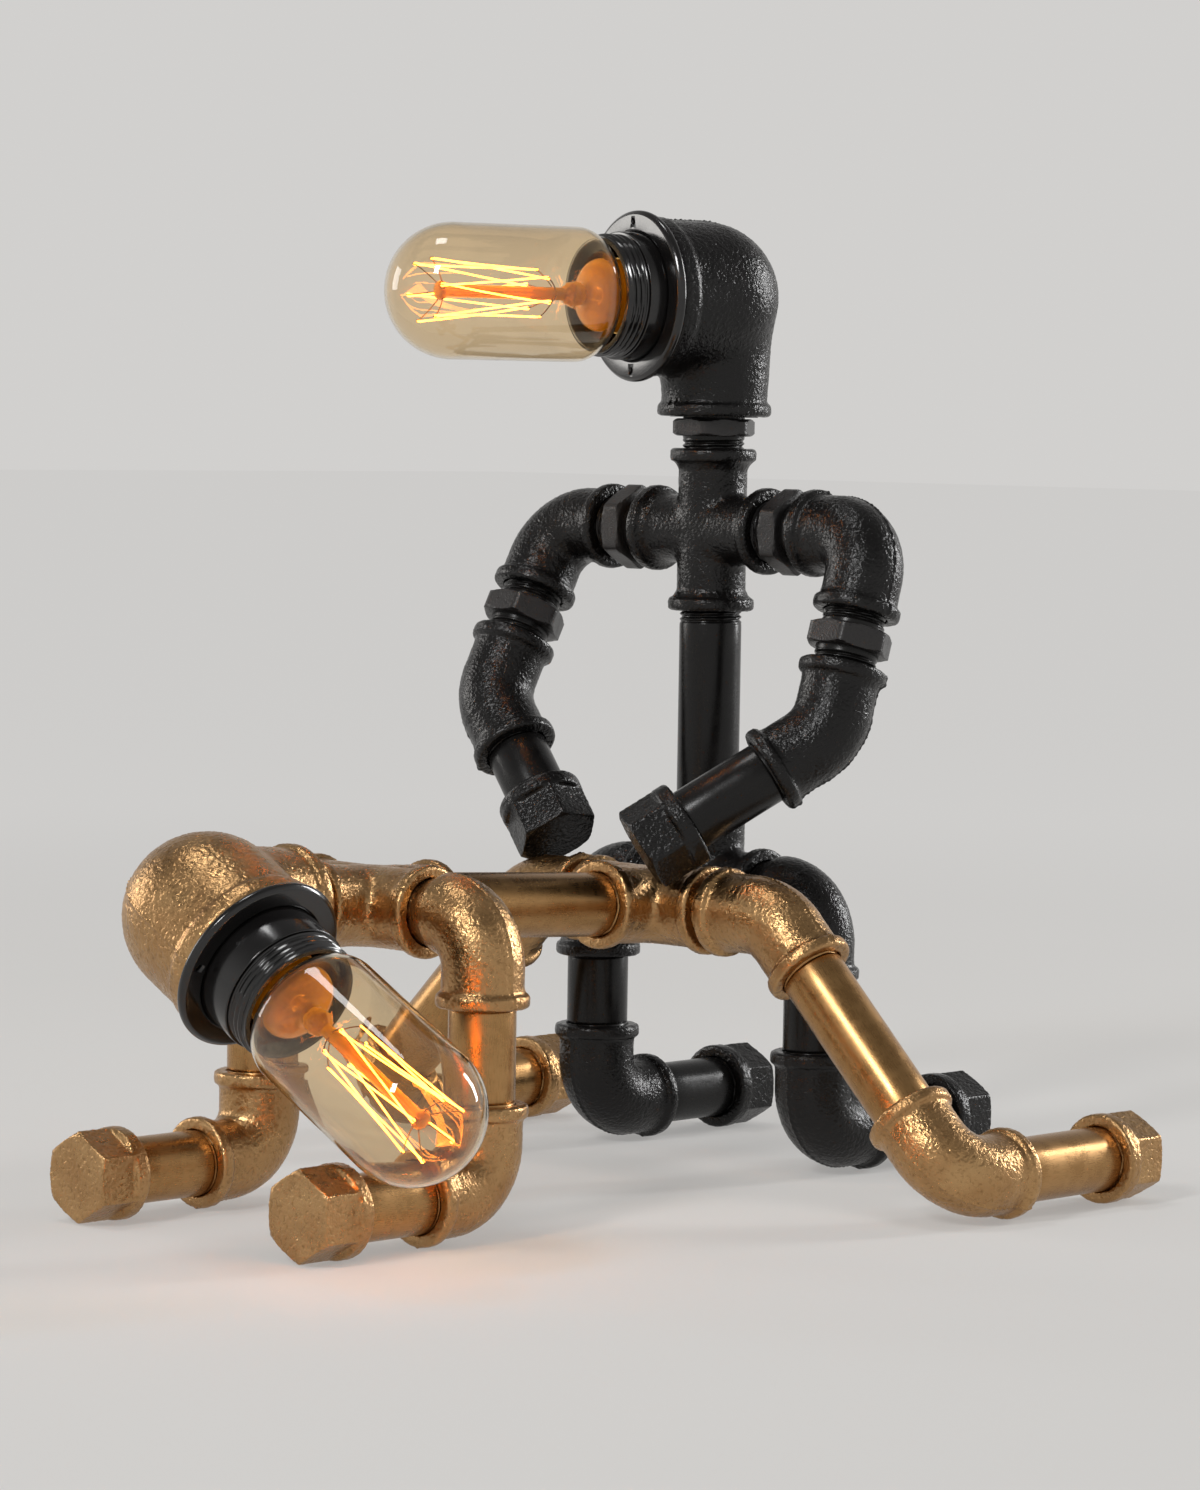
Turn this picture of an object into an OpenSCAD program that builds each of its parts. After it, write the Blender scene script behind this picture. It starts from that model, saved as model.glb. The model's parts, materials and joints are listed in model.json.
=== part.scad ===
// Pair of pipe-fitting figures, each with a lampholder and a bulb for a head.
// The black figure kneels upright behind the gold one, which leans on its hands.
// -X is the way both figures face, +X is towards their feet, -Y is their left side.
// The ground is z = 0, and x = y = 0 lies under the middle of the pair.

/* [Pipe and fittings] */
// Outside diameter of the half-inch pipe
pipe_od = 21.3; // [20.5:0.1:22]
// Bore of the pipe and nipples
pipe_bore = 16; // [13:0.5:17.5]
// How far a pipe end screws into a fitting
thread_len = 13; // [10:0.5:15]
// Radial gap between a thread and its socket
thread_gap = 0.05; // [0.02:0.01:0.1]
// Depth of a fitting's socket
socket_len = 14.5; // [13.5:0.5:16]
// Diameter of the waterway inside a fitting
waterway_d = 18; // [14:0.5:19]
// Outside diameter of a fitting's body
body_od = 26.5; // [25.5:0.1:28]
// Outside diameter of the black cross's body
cross_od = 24; // [23.6:0.1:26.5]
// Outside diameter of the band at a fitting's mouth
band_od = 30; // [29:0.1:33]
// Width of the band at a fitting's mouth
band_w = 5; // [3:0.5:7]
// Rounding of the band's two edges
band_round = 1.6; // [0.5:0.1:2]
// Length of the slope from body to band
band_slope = 2.4; // [1:0.1:4]
// Centre to face of a 90 degree elbow, tee or cross
elbow_a = 28; // [26:0.5:32]
// Centre to face of a 45 degree elbow
bend_a = 24; // [23.5:0.5:28]
// Centre-line radius of a 90 degree elbow
elbow_r = 15.5; // [14.5:0.5:17]
// Centre-line radius of a 45 degree elbow
bend_r = 20; // [16:1:22]
// Centre to male end of a street elbow
street_b = 36; // [33:0.5:39]

/* [Hexagons and caps] */
// Width across flats of the hexagon nipples
hex_af = 26; // [24:0.5:28]
// Thickness of the hexagon on an arm nipple
hex_t = 8; // [5:0.5:10]
// Open length between two fittings joined by an arm nipple
hex_reach = 17; // [14:0.5:22]
// Corner chamfer of hexagons
hex_chamfer = 1; // [0.3:0.1:1.5]
// Width across flats of a cap
cap_af = 26; // [25.5:0.5:28]
// Length of a cap from its mouth to its closed end
cap_len = 19; // [18:0.5:24]
// Diameter of the round collar at a cap's mouth
cap_collar_od = 30; // [29:0.1:33]
// Width of the round collar at a cap's mouth
cap_collar_w = 6; // [4:0.5:8]

/* [Head and neck] */
// Outside diameter of a head elbow's barrel
head_od = 53; // [51:0.5:54]
// Outside diameter of the band at a head elbow's large mouth
head_band_od = 55; // [54:0.5:57]
// Width of the band at a head elbow's large mouth
head_band_w = 7; // [5:0.5:9]
// Bore of a head elbow's barrel
head_bore = 43.4; // [43:0.2:45]
// Neck axis to the large mouth of a head elbow
head_a = 31; // [29:0.5:34]
// Neck axis to the back of a head elbow's dome
head_back = 21; // [19:0.5:24]
// Barrel axis to the small mouth of a head elbow
head_neck_a = 40.5; // [39:0.5:44]
// Outside diameter of a head elbow's small leg at its mouth
head_leg_od = 36; // [34:0.5:37]
// Outside diameter of the band at a head elbow's small mouth
head_leg_band_od = 39.5; // [38:0.5:42]
// Thread diameter of the reducing bush in the head's small mouth
bush_od = 30.2; // [29:0.1:31]
// Length of the reducing bush
bush_len = 14; // [13.5:0.5:16]
// Open length of the black figure's neck
black_neck = 10.5; // [8.5:0.5:14]
// Open length of the gold figure's neck
gold_neck = 5; // [3:0.5:10]
// Thickness of the hexagon on the black figure's neck nipple
neck_hex_t = 6; // [4:0.5:7]
// Gap between the neck hexagon and the head above it
neck_hex_gap = 0.5; // [0.3:0.1:1]

/* [Lampholder] */
// Outside diameter of the fixing ring
ring_od = 58; // [56:0.5:62]
// Thickness of the fixing ring
ring_t = 3.6; // [3:0.2:5]
// Reach of the black holder beyond its head's mouth
skirt_h = 18; // [16:0.5:20]
// How much further the gold holder stands out than the black one
gold_holder_out = 6; // [3:0.5:7]
// Length of the holder's threaded front
skirt_len = 8; // [6:0.5:10]
// Diameter of the core of the holder's thread
skirt_od = 40; // [39:0.2:41]
// Wall of the skirt at its mouth
skirt_wall = 2; // [1.4:0.1:2.2]
// Height of each thread ring on the skirt
skirt_ring_h = 0.9; // [0.3:0.1:1]
// Spacing of the thread rings on the skirt
skirt_pitch = 2; // [1.6:0.1:3]
// Depth of the black holder inside its head
holder_depth = 24; // [22:0.5:25]
// Wall of the holder's inner part
holder_wall = 3; // [2:0.1:3.6]
// Bore of the brass screw shell
shell_id = 26.7; // [26.6:0.1:27]
// Wall of the brass screw shell
shell_wall = 0.5; // [0.4:0.1:0.8]
// Diameter of the two spanner holes in the fixing ring
spanner_hole_d = 2.6; // [1.5:0.1:3]

/* [Bulb] */
// Diameter of the bulb's glass
bulb_d = 45.5; // [43:0.5:48]
// Length of the bulb from contact to tip
bulb_len = 114; // [111:0.5:118]
// Diameter of the bulb's screw cap
bulb_cap_d = 26; // [25.6:0.1:26.2]
// Length of the bulb's screw cap
bulb_cap_len = 26; // [25:0.5:27]
// Thickness of the bulb's glass
glass_t = 0.9; // [0.6:0.1:1.2]
// Length of the glass shoulder between neck and full width
shoulder_len = 17; // [16:0.5:22]
// Number of straight strands in the filament
strand_count = 12; // [8:2:16]
// Thickness of a filament strand
strand_d = 0.7; // [0.5:0.1:1]
// Radius of the front ring of hooks that hold the filament
cage_r = 11; // [9:0.5:13]
// Radius of the back ring of hooks
cage_back_r = 8; // [6:0.5:10]
// Length of the filament cage along the bulb
cage_len = 44; // [30:1:46]

/* [Black figure] */
// Height of the black figure's shoulders above the gold figure's hips
shoulder_rise = 124.9; // [118:0.1:135]
// Open length of the black thigh nipples
black_thigh = 24; // [20:1:40]
// Open length of the black shin nipples
black_shin = 33; // [25:1:50]
// Turn of the black head towards the figure's right
black_head_turn = 13; // [0:1:20]
// Forward lean of the black figure's left upper arm
left_arm_lean = 17.6; // [17.6:0.2:30]
// Turn of the left forearm from forward towards inward
left_forearm_turn = 48; // [20:0.5:48.5]
// Open length of the left forearm nipple
left_forearm = 30.7; // [24:0.1:30.7]
// Forward lean of the black figure's right upper arm
right_arm_lean = 28.4; // [28.4:0.2:40]
// Turn of the right forearm from forward towards inward
right_forearm_turn = 109; // [60:1:109]
// Open length of the right forearm nipple
right_forearm = 19.7; // [16:0.1:19.8]
// How far the black figure stands to the right of the gold one
black_aside = 20; // [16:1:24]
// How far the black figure's hips are behind the gold one's
hip_lag = 48; // [45:0.5:55]

/* [Gold figure] */
// Height of the gold figure's shoulders
gold_shoulder_h = 100.4; // [94:0.2:106]
// Downward slope of the gold torso towards the hips
gold_slope = 3.2; // [0:0.2:4]
// Open length of the gold torso pipe
gold_torso = 75; // [60:1:100]
// Open length of the gold hand nipples
gold_hand = 30.5; // [25:0.5:40]
// Open length of the gold hip nipples
gold_hip_gap = 3; // [1:0.5:6]
// Open length of the gold foot nipples
gold_foot = 45.5; // [30:0.5:60]
// Droop of the gold bulb below the horizontal
gold_head_droop = 28; // [20:1:30]

/* [Hidden] */
$fn = 64;

BLACK = "#1c1b1b";
GOLD = "#b98d45";
BAKELITE = "#151210";
BRASS = "#c8a250";
CERAMIC = "#d9d2c4";
GLASS = [0.95, 0.8, 0.55, 0.3];
GLOW = "#ffb040";
STEEL = "#9a8f80";

// Joined pipes and the room they need
axis_h = max(band_od, cap_collar_od)/2;      // height of every axis that lies on the ground
socket_d = pipe_od + 2*thread_gap;
street_reach = elbow_a - thread_len + street_b;   // tee centre to street elbow centre
upper_arm = elbow_a + hex_reach + bend_a;    // shoulder to 45 degree elbow
shoulder_out = 2*elbow_a + hex_reach;        // black neck axis to shoulder
SIDES = [-1, 1];                             // left, right
bend_angle = 45;

// Gold figure
gold_hip_reach = 2*elbow_a + gold_torso;     // gold cross centre to hip tee centre
gold_hip_h = gold_shoulder_h - gold_hip_reach*sin(gold_slope);
gold_hip_out = elbow_a + gold_hip_gap + bend_a;
gold_arm = gold_shoulder_h - axis_h - 2*elbow_a;
leg_reach = (gold_hip_h - axis_h)/sin(bend_angle);   // hip bend to ankle elbow
gold_leg = leg_reach - bend_a - elbow_a;
gold_head_reach = elbow_a + gold_neck + head_neck_a;
gold_ankle_out = gold_hip_out + leg_reach*cos(bend_angle);

// Black figure, whose hands lie on the gold hips
black_hip_h = axis_h + 2*elbow_a + black_thigh;
black_shoulder_h = gold_hip_h + shoulder_rise;
black_torso = black_shoulder_h - black_hip_h - 2*elbow_a;
black_head_h = black_shoulder_h + elbow_a + black_neck + head_neck_a;

// Places on the ground, with the middle of the pair's length at x = 0
hips_behind = gold_hip_reach*cos(gold_slope);
pair_back = elbow_a + black_shin + cap_len;  // black neck axis to the black feet's ends
pair_front = hip_lag + hips_behind + gold_head_reach*cos(gold_slope) + ring_od/2;
black_x = (pair_front - pair_back)/2;
gold_x = black_x - hip_lag - hips_behind;
gold_hip_x = black_x - hip_lag;

// Fine shape
over = 1;                                    // how far a cut runs past a face
band_edge = min(band_round, 0.45*band_w);
band_lap = 2;                                // how far a band reaches into the wall behind it
slope_top = band_od/2 - band_edge;
arm_lap = 1.2;                               // how far a bend's straight arms run into its curve
arm_step = 0.15;                             // and how much slimmer they are all round
collar_round = 1.4;
hex_cap_start = cap_collar_w - 1;
end_chamfer = 1;
dome_r = head_od/2;
dome_x = dome_r - head_back;
leg_top_r = min(head_leg_od/2 + 2.5, head_back - 0.5);
leg_bore = 28;
bush_room = 0.5;                             // socket left free past the bush
ring_edge = 1.2;
holder_od = skirt_od - 2;
skirt_id = skirt_od - 2*skirt_wall;
holder_id = holder_od - 2*holder_wall;
shoulder_od = head_bore - 2*thread_gap;      // the holder's smooth part that slides in the head
shoulder_back = gold_holder_out + 2;
skirt_floor = 2;
skirt_ring_rise = 0.8;
spanner_r = (ring_od + shoulder_od)/4;
base_t = 5;
base_hole_d = 4;
base_hole_r = 11;
shell_lip = 3;
contact_t = 0.8;
contact_r = 5;
contact_gap = 0.1;
contact_room = 2.5;
stud_d = 3;
bulb_seat = holder_depth - base_t - contact_room;    // bulb contact behind the holder's zero
cap_wall = 0.5;
cap_glass_gap = 0.1;
cap_glass_lap = 7;
glass_neck_d = bulb_cap_d - 2*(cap_wall + cap_glass_gap);
tip_contact_d = 9;
tip_contact_h = 2.5;
insulator_h = 3.5;
insulator_side = 1;
neck_h = 1;                                  // straight glass above the cap
flare_h = 24;
flare_len = 12;
flare_r = glass_neck_d/2 - glass_t - cap_glass_gap;
stem_r = 3.2;
press_h = 44;                                // middle of the stem's pinched ball
press_r = 4.6;
rod_r = 2.2;
cage_start = 58;
cage_turn = 8;
button_r = 3.2;
button_t = 2.5;
button_back = 7;                             // rod's end behind the front hooks
hub_back = 6;                                // wires' roots behind their hooks
wire_d = 0.6;
hook_gap = 0.2;
knot_d = strand_d + 0.12;
arc_steps = 10;

// ---------- helpers ----------

function arc_points(cx, cy, r, from, to, steps) =
    [for (i = [0:steps]) let (a = from + (to - from)*i/steps) [cx + r*cos(a), cy + r*sin(a)]];

// Round bar from z = 0 to z = h
module rod(d, h) {
    cylinder(d = d, h = h);
}

// Quarter or part turn of a round bar, entering along -Z and leaving towards +X
module turn(angle, radius, d) {
    translate([radius, 0, radius*tan(angle/2)])
        rotate([90, 0, 0]) rotate([0, 0, 180])
            rotate_extrude(angle = angle) translate([radius, 0]) circle(d = d);
}

// Round bar that enters along -Z from `reach` above the centre and leaves on the turned side.
// With a lap its arms run into the curve, and are thicker than it by `step` all round.
module turned_bar(angle, radius, d, reach, out, lap = 0, step = 0) {
    t = radius*tan(angle/2);
    turn(angle, radius, d);
    translate([0, 0, t - lap]) rod(d + 2*step, reach - t + lap);
    rotate([0, -angle, 0]) translate([0, 0, -out]) rod(d + 2*step, out - t + lap);
}

// Band with rounded edges; its face lies at z = 0 and its body below
module band(od, w, edge, inner_d) {
    rotate_extrude() {
        translate([inner_d/2, -w]) square([(od - inner_d)/2 - edge, w]);
        translate([inner_d/2, edge - w]) square([(od - inner_d)/2, w - 2*edge]);
        translate([od/2 - edge, -edge]) circle(r = edge);
        translate([od/2 - edge, edge - w]) circle(r = edge);
    }
}

// Mouth of a fitting, face at z = 0: band and the slope down to a body of diameter d
module mouth(d = body_od) {
    band(band_od, band_w, band_edge, d - 2*band_lap);
    translate([0, 0, -band_w - band_slope])
        cylinder(r1 = d/2, r2 = slope_top, h = band_slope);
}

// Room for a pipe end below a face at z = 0
module socket(d = socket_d) {
    translate([0, 0, -socket_len]) rod(d, socket_len + over);
}

// Elbow: one mouth up, the other turned by `angle` towards +X
module elbow(angle, a, radius, lap = 0, step = 0) {
    difference() {
        union() {
            turned_bar(angle, radius, body_od, a, a, lap, -step);
            translate([0, 0, a]) mouth(body_od - 2*step);
            rotate([0, 180 - angle, 0]) translate([0, 0, a]) mouth(body_od - 2*step);
        }
        turned_bar(angle, radius, waterway_d, a, a, lap, step);
        translate([0, 0, a]) socket();
        rotate([0, 180 - angle, 0]) translate([0, 0, a]) socket();
    }
}

module elbow_90() {
    elbow(90, elbow_a, elbow_r);
}

module elbow_45() {
    elbow(bend_angle, bend_a, bend_r, arm_lap, arm_step);
}

// Street elbow: mouth up, male end towards +X
module street_elbow() {
    neck = elbow_a - band_w/2;
    taper = street_b - thread_len - elbow_r - over;
    difference() {
        union() {
            turned_bar(90, elbow_r, body_od, elbow_a, elbow_r);
            translate([0, 0, elbow_a]) mouth();
            rotate([0, 90, 0]) translate([0, 0, elbow_r])
                cylinder(d1 = body_od, d2 = pipe_od, h = taper);
            rotate([0, 90, 0]) translate([0, 0, elbow_r]) rod(pipe_od, street_b - elbow_r);
        }
        turned_bar(90, elbow_r, pipe_bore, neck, street_b + over);
        translate([0, 0, elbow_a]) socket();
    }
}

// Tee with its run along X and its branch up, or a cross with a fourth mouth down
module run_fitting(branches, d = body_od) {
    turns = concat([[0, 90, 0], [0, -90, 0]], branches);
    difference() {
        union() {
            for (r = turns) rotate(r) {
                rod(d, elbow_a);
                translate([0, 0, elbow_a]) mouth(d);
            }
        }
        for (r = turns) rotate(r) {
            rod(waterway_d, elbow_a);
            translate([0, 0, elbow_a]) socket();
        }
    }
}

module tee() {
    run_fitting([[0, 0, 0]]);
}

module cross(d = body_od) {
    run_fitting([[0, 0, 0], [180, 0, 0]], d);
}

// Pipe with `open` mm showing between z = 0 and z = open, and a screwed end past each
module nipple(open) {
    difference() {
        translate([0, 0, -thread_len]) rod(pipe_od, open + 2*thread_len);
        translate([0, 0, -thread_len - over])
            rod(pipe_bore, open + 2*thread_len + 2*over);
    }
}

// Hexagon bar with chamfered corners from z = 0 to z = t
module hex_bar(af, t) {
    corner_r = af/2/cos(30);
    intersection() {
        cylinder(r = corner_r, h = t, $fn = 6);
        union() {
            cylinder(r1 = corner_r - hex_chamfer, r2 = corner_r, h = hex_chamfer);
            translate([0, 0, hex_chamfer]) cylinder(r = corner_r, h = t - 2*hex_chamfer);
            translate([0, 0, t - hex_chamfer])
                cylinder(r1 = corner_r, r2 = corner_r - hex_chamfer, h = hex_chamfer);
        }
    }
}

// Nipple with a hexagon `t` thick whose lower side is at z = from
module hex_nipple(open, from, t) {
    nipple(open);
    difference() {
        translate([0, 0, from]) hex_bar(hex_af, t);
        translate([0, 0, from - over]) rod(pipe_od - 1, t + 2*over);
    }
}

// Cap with its mouth at z = 0 and its closed end at z = cap_len
module pipe_cap() {
    flat_r = cap_af/2/cos(30);
    difference() {
        union() {
            rotate([180, 0, 0]) band(cap_collar_od, cap_collar_w, collar_round, pipe_od - 2*band_lap);
            translate([0, 0, hex_cap_start]) intersection() {
                cylinder(r = flat_r, h = cap_len - hex_cap_start, $fn = 6);
                union() {
                    rod(2*flat_r, cap_len - hex_cap_start - end_chamfer);
                    translate([0, 0, cap_len - hex_cap_start - end_chamfer])
                        cylinder(r1 = flat_r, r2 = flat_r - 2*end_chamfer, h = end_chamfer);
                }
            }
        }
        rotate([180, 0, 0]) socket();
    }
}

// ---------- head and lamp, with the barrel along +X and the neck down ----------

// Round bar along +X from x = 0, with a half ball behind it
module domed_bar(r, h) {
    rotate([0, 90, 0]) rotate_extrude($fn = 96) {
        intersection() {
            circle(r = r);
            translate([0, -r]) square([r, r]);
        }
        square([r, h]);
    }
}

// Reducing elbow: domed barrel with a large mouth, and a tapered leg down to a small one
module head_elbow() {
    difference() {
        union() {
            translate([dome_x, 0, 0]) domed_bar(dome_r, head_a - dome_x);
            translate([head_a, 0, 0]) rotate([0, 90, 0])
                band(head_band_od, head_band_w, band_round, head_od - 2*band_lap);
            translate([0, 0, -head_neck_a])
                cylinder(r1 = head_leg_od/2, r2 = leg_top_r, h = head_neck_a);
            translate([0, 0, -head_neck_a]) rotate([180, 0, 0])
                band(head_leg_band_od, band_w, band_round, head_leg_od - 2*band_lap);
        }
        translate([dome_x, 0, 0]) domed_bar(head_bore/2, head_a);
        translate([0, 0, -head_neck_a]) rod(leg_bore, head_neck_a);
        translate([0, 0, -head_neck_a]) rotate([180, 0, 0])
            translate([0, 0, -bush_len - bush_room])
                rod(bush_od + 2*thread_gap, bush_len + bush_room + over);
    }
}

// Reducing bush, flush with the small mouth
module head_bush() {
    translate([0, 0, -head_neck_a]) difference() {
        rod(bush_od, bush_len);
        translate([0, 0, -over]) rod(socket_d, bush_len + 2*over);
    }
}

// Everything of the lamp is drawn along +Z from the large mouth
module in_mouth() {
    translate([head_a, 0, 0]) rotate([0, 90, 0]) children();
}

// Fixing ring on the mouth, in which the holder slides
module holder_ring() {
    in_mouth() difference() {
        translate([0, 0, ring_t])
            band(ring_od, ring_t, ring_edge, shoulder_od - 2*band_lap);
        translate([0, 0, -over]) rod(shoulder_od + 2*thread_gap, ring_t + 2*over);
        for (s = SIDES) translate([s*spanner_r, 0, -over])
            rod(spanner_hole_d, ring_t + 2*over);
    }
}

// Threaded front, smooth part in the ring, and the slimmer back inside the head
module holder_body() {
    shoulder_top = skirt_h - skirt_len;
    first_ring = shoulder_top + skirt_pitch/2;
    ring_room = skirt_h - first_ring - skirt_ring_h;
    in_mouth() difference() {
        union() {
            translate([0, 0, shoulder_top])
                band(shoulder_od, shoulder_top + shoulder_back, ring_edge, holder_od - 2*band_lap);
            translate([0, 0, -skirt_floor]) rod(skirt_od, skirt_h + skirt_floor);
            translate([0, 0, -holder_depth]) rod(holder_od, holder_depth);
            for (z = [0:skirt_pitch:ring_room]) translate([0, 0, first_ring + z])
                rod(skirt_od + 2*skirt_ring_rise, skirt_ring_h);
        }
        translate([0, 0, -skirt_floor]) rod(skirt_id, skirt_h + skirt_floor + over);
        translate([0, 0, -holder_depth - over]) rod(holder_id, holder_depth);
    }
}

// Insulating base at the back of the holder, with two holes for the wires
module holder_base() {
    in_mouth() translate([0, 0, -holder_depth]) difference() {
        rod(holder_id - 2*thread_gap, base_t);
        for (s = SIDES) translate([s*base_hole_r, 0, -over])
            rod(base_hole_d, base_t + 2*over);
        translate([0, 0, -over]) rod(stud_d + 2*thread_gap, base_t + 2*over);
    }
}

// Brass shell that the bulb screws into
module screw_shell() {
    shell_od = shell_id + 2*shell_wall;
    in_mouth() translate([0, 0, base_t - holder_depth]) difference() {
        union() {
            rod(shell_od, holder_depth - base_t + shell_lip);
            rod(holder_id - 2*thread_gap, shell_wall);
        }
        translate([0, 0, shell_wall]) rod(shell_id, holder_depth + shell_lip);
        translate([0, 0, -over]) rod(2*contact_r + 2*over, shell_wall + 2*over);
    }
}

// Centre contact on its stud
module centre_contact() {
    stud_top = -bulb_seat - contact_gap;
    in_mouth() {
        translate([0, 0, -holder_depth]) rod(stud_d, holder_depth + stud_top);
        translate([0, 0, stud_top - contact_t]) rod(2*contact_r, contact_t);
        translate([0, 0, base_t - holder_depth]) rod(2*contact_r, contact_t);
    }
}

// The bulb is drawn from its contact at z = 0
module in_holder() {
    in_mouth() translate([0, 0, -bulb_seat]) children();
}

// Metal screw cap with its insulator and tip contact
module bulb_cap() {
    in_holder() difference() {
        union() {
            rod(tip_contact_d, tip_contact_h);
            translate([0, 0, tip_contact_h - over])
                cylinder(r1 = tip_contact_d/2 + insulator_side,
                    r2 = bulb_cap_d/2 - insulator_side, h = insulator_h);
            translate([0, 0, tip_contact_h + insulator_h - over])
                rod(bulb_cap_d, bulb_cap_len - tip_contact_h - insulator_h + over);
        }
        translate([0, 0, tip_contact_h + insulator_h])
            rod(bulb_cap_d - 2*cap_wall, bulb_cap_len);
    }
}

// Half outline of the glass, drawn `o` inside the outer surface
function glass_side(o) =
    let (
        rn = glass_neck_d/2, rb = bulb_d/2, rise = rb - rn,
        phi = 2*atan(rise/shoulder_len), rho = shoulder_len/2/sin(phi),
        z0 = bulb_cap_len + neck_h, z1 = z0 + shoulder_len, zt = bulb_len - rb
    )
    concat(
        [[rn - o, bulb_cap_len - cap_glass_lap]],
        arc_points(rn + rho, z0, rho + o, 180, 180 - phi, arc_steps),
        arc_points(rb - rho, z1, rho - o, -phi, 0, arc_steps),
        arc_points(0, zt, rb - o, 0, 90, 2*arc_steps)
    );

function reversed(list) = [for (i = [len(list) - 1:-1:0]) list[i]];

module bulb_glass() {
    in_holder() rotate_extrude($fn = 96)
        polygon(concat(glass_side(0), reversed(glass_side(glass_t))));
}

// Glass flare, tube, pinched ball and the rod up the middle with its button
module bulb_stem() {
    rod_top = cage_start + cage_len - button_back;
    in_holder() {
        translate([0, 0, flare_h]) cylinder(r1 = flare_r, r2 = stem_r + 1, h = flare_len);
        translate([0, 0, flare_h + flare_len - over])
            rod(2*stem_r, press_h - flare_h - flare_len + over);
        translate([0, 0, press_h]) sphere(r = press_r);
        translate([0, 0, press_h]) rod(2*rod_r, rod_top - press_h);
        translate([0, 0, rod_top - over]) rod(2*button_r, button_t);
    }
}

function cage_point(i) =
    let (a = 360*i/strand_count + cage_turn, back = i % 2 == 0, r = back ? cage_back_r : cage_r)
    [r*cos(a), r*sin(a), cage_start + (back ? 0 : cage_len)];

// Straight bar between two points
module bar(p, q, d) {
    v = q - p;
    length = norm(v);
    translate(p) rotate([0, acos(v[2]/length), atan2(v[1], v[0])]) rod(d, length);
}

// Wires from the rod that carry the strands at both ends of the cage
module bulb_supports() {
    hook_room = strand_d/2 + hook_gap;
    in_holder() for (i = [0:strand_count - 1]) {
        p = cage_point(i);
        hub = [0, 0, i % 2 == 0 ? cage_start - hub_back : cage_start + cage_len - hub_back];
        way = (p - hub)/norm(p - hub);
        side = norm([p[0], p[1]])/norm(p - hub);
        bar(hub + way*(i % 2 == 0 ? rod_r : button_r)/side, p - way*hook_room, wire_d);
    }
}

// Zigzag filament: straight strands up and down round the cage
module bulb_filament() {
    in_holder() for (i = [0:strand_count - 1]) {
        if (i < strand_count - 1) bar(cage_point(i), cage_point(i + 1), strand_d);
        translate(cage_point(i)) sphere(d = knot_d);
    }
}

// ---------- places ----------

module at_black(h) {
    translate([black_x, black_aside, h]) children();
}

// The black head turns about the neck
module at_black_head() {
    at_black(black_head_h) rotate([0, 0, 180 - black_head_turn]) children();
}

// Both sides of the black figure, `out` from its middle
module black_pair(out, h) {
    for (s = SIDES) at_black(h) translate([0, s*out, 0]) children();
}

function lean(side) = side < 0 ? left_arm_lean : right_arm_lean;
function forearm_turn(side) = side < 0 ? left_forearm_turn : right_forearm_turn;
function forearm_open(side) = side < 0 ? left_forearm : right_forearm;

// Upper arm hangs from the shoulder along -Z before it leans
module at_upper_arm(side) {
    at_black(black_shoulder_h) translate([0, side*shoulder_out, 0])
        rotate([0, lean(side), 0]) children();
}

// Forearm hangs from the 45 degree elbow's lower mouth along -Z
module at_bend(side) {
    at_upper_arm(side) translate([0, 0, -upper_arm])
        rotate([0, 0, side*(forearm_turn(side) - 180)]) children();
}

module at_forearm(side) {
    at_bend(side) rotate([0, -bend_angle, 0]) translate([0, 0, -bend_a]) children();
}

// The gold torso's own frame: cross at the origin, hips along +X, tilted by the slope
module at_gold_torso() {
    translate([gold_x, 0, gold_shoulder_h])
        rotate([0, gold_slope, 0]) children();
}

module at_gold_head() {
    at_gold_torso() translate([-gold_head_reach, 0, 0])
        rotate([90 + gold_head_droop, 0, 0]) rotate([0, -90, 0]) children();
}

// The gold lamp stands further out of its ring than the black one
module at_gold_lamp() {
    at_gold_head() translate([gold_holder_out, 0, 0]) children();
}

// Both sides of the gold figure's hips, legs and arms
module gold_pair(x, out, h) {
    for (s = SIDES) translate([x, s*out, h]) children();
}

// A 90 degree turn of each side's fittings: up becomes inward, +X becomes down
module outward_down(side) {
    rotate([0, 90, -side*90]) children();
}

// Legs run along -Z from the hip bend's lower mouth
module at_gold_leg(side) {
    translate([gold_hip_x, side*gold_hip_out, gold_hip_h])
        rotate([side*bend_angle, 0, 0]) children();
}

module at_gold_ankle(side) {
    translate([gold_hip_x, side*gold_ankle_out, axis_h]) children();
}

// ---------- black figure ----------

module black_cross() color(BLACK) {
    at_black(black_shoulder_h) rotate([0, 0, 90]) cross(cross_od);
}

module black_torso_pipe() color(BLACK) {
    at_black(black_hip_h + elbow_a) nipple(black_torso);
}

module black_hip_tee() color(BLACK) {
    at_black(black_hip_h) rotate([0, 0, 90]) tee();
}

module black_hip_elbows() color(BLACK) {
    for (s = SIDES) at_black(black_hip_h) translate([0, s*street_reach, 0])
        rotate([180, 0, s*90]) rotate([0, 0, 180]) street_elbow();
}

module black_thigh_nipples() color(BLACK) {
    black_pair(street_reach, axis_h + elbow_a) nipple(black_thigh);
}

module black_knee_elbows() color(BLACK) {
    black_pair(street_reach, axis_h) elbow_90();
}

module black_shin_nipples() color(BLACK) {
    black_pair(street_reach, axis_h) rotate([0, 90, 0])
        translate([0, 0, elbow_a]) nipple(black_shin);
}

module black_foot_caps() color(BLACK) {
    black_pair(street_reach, axis_h) rotate([0, 90, 0])
        translate([0, 0, elbow_a + black_shin]) pipe_cap();
}

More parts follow.
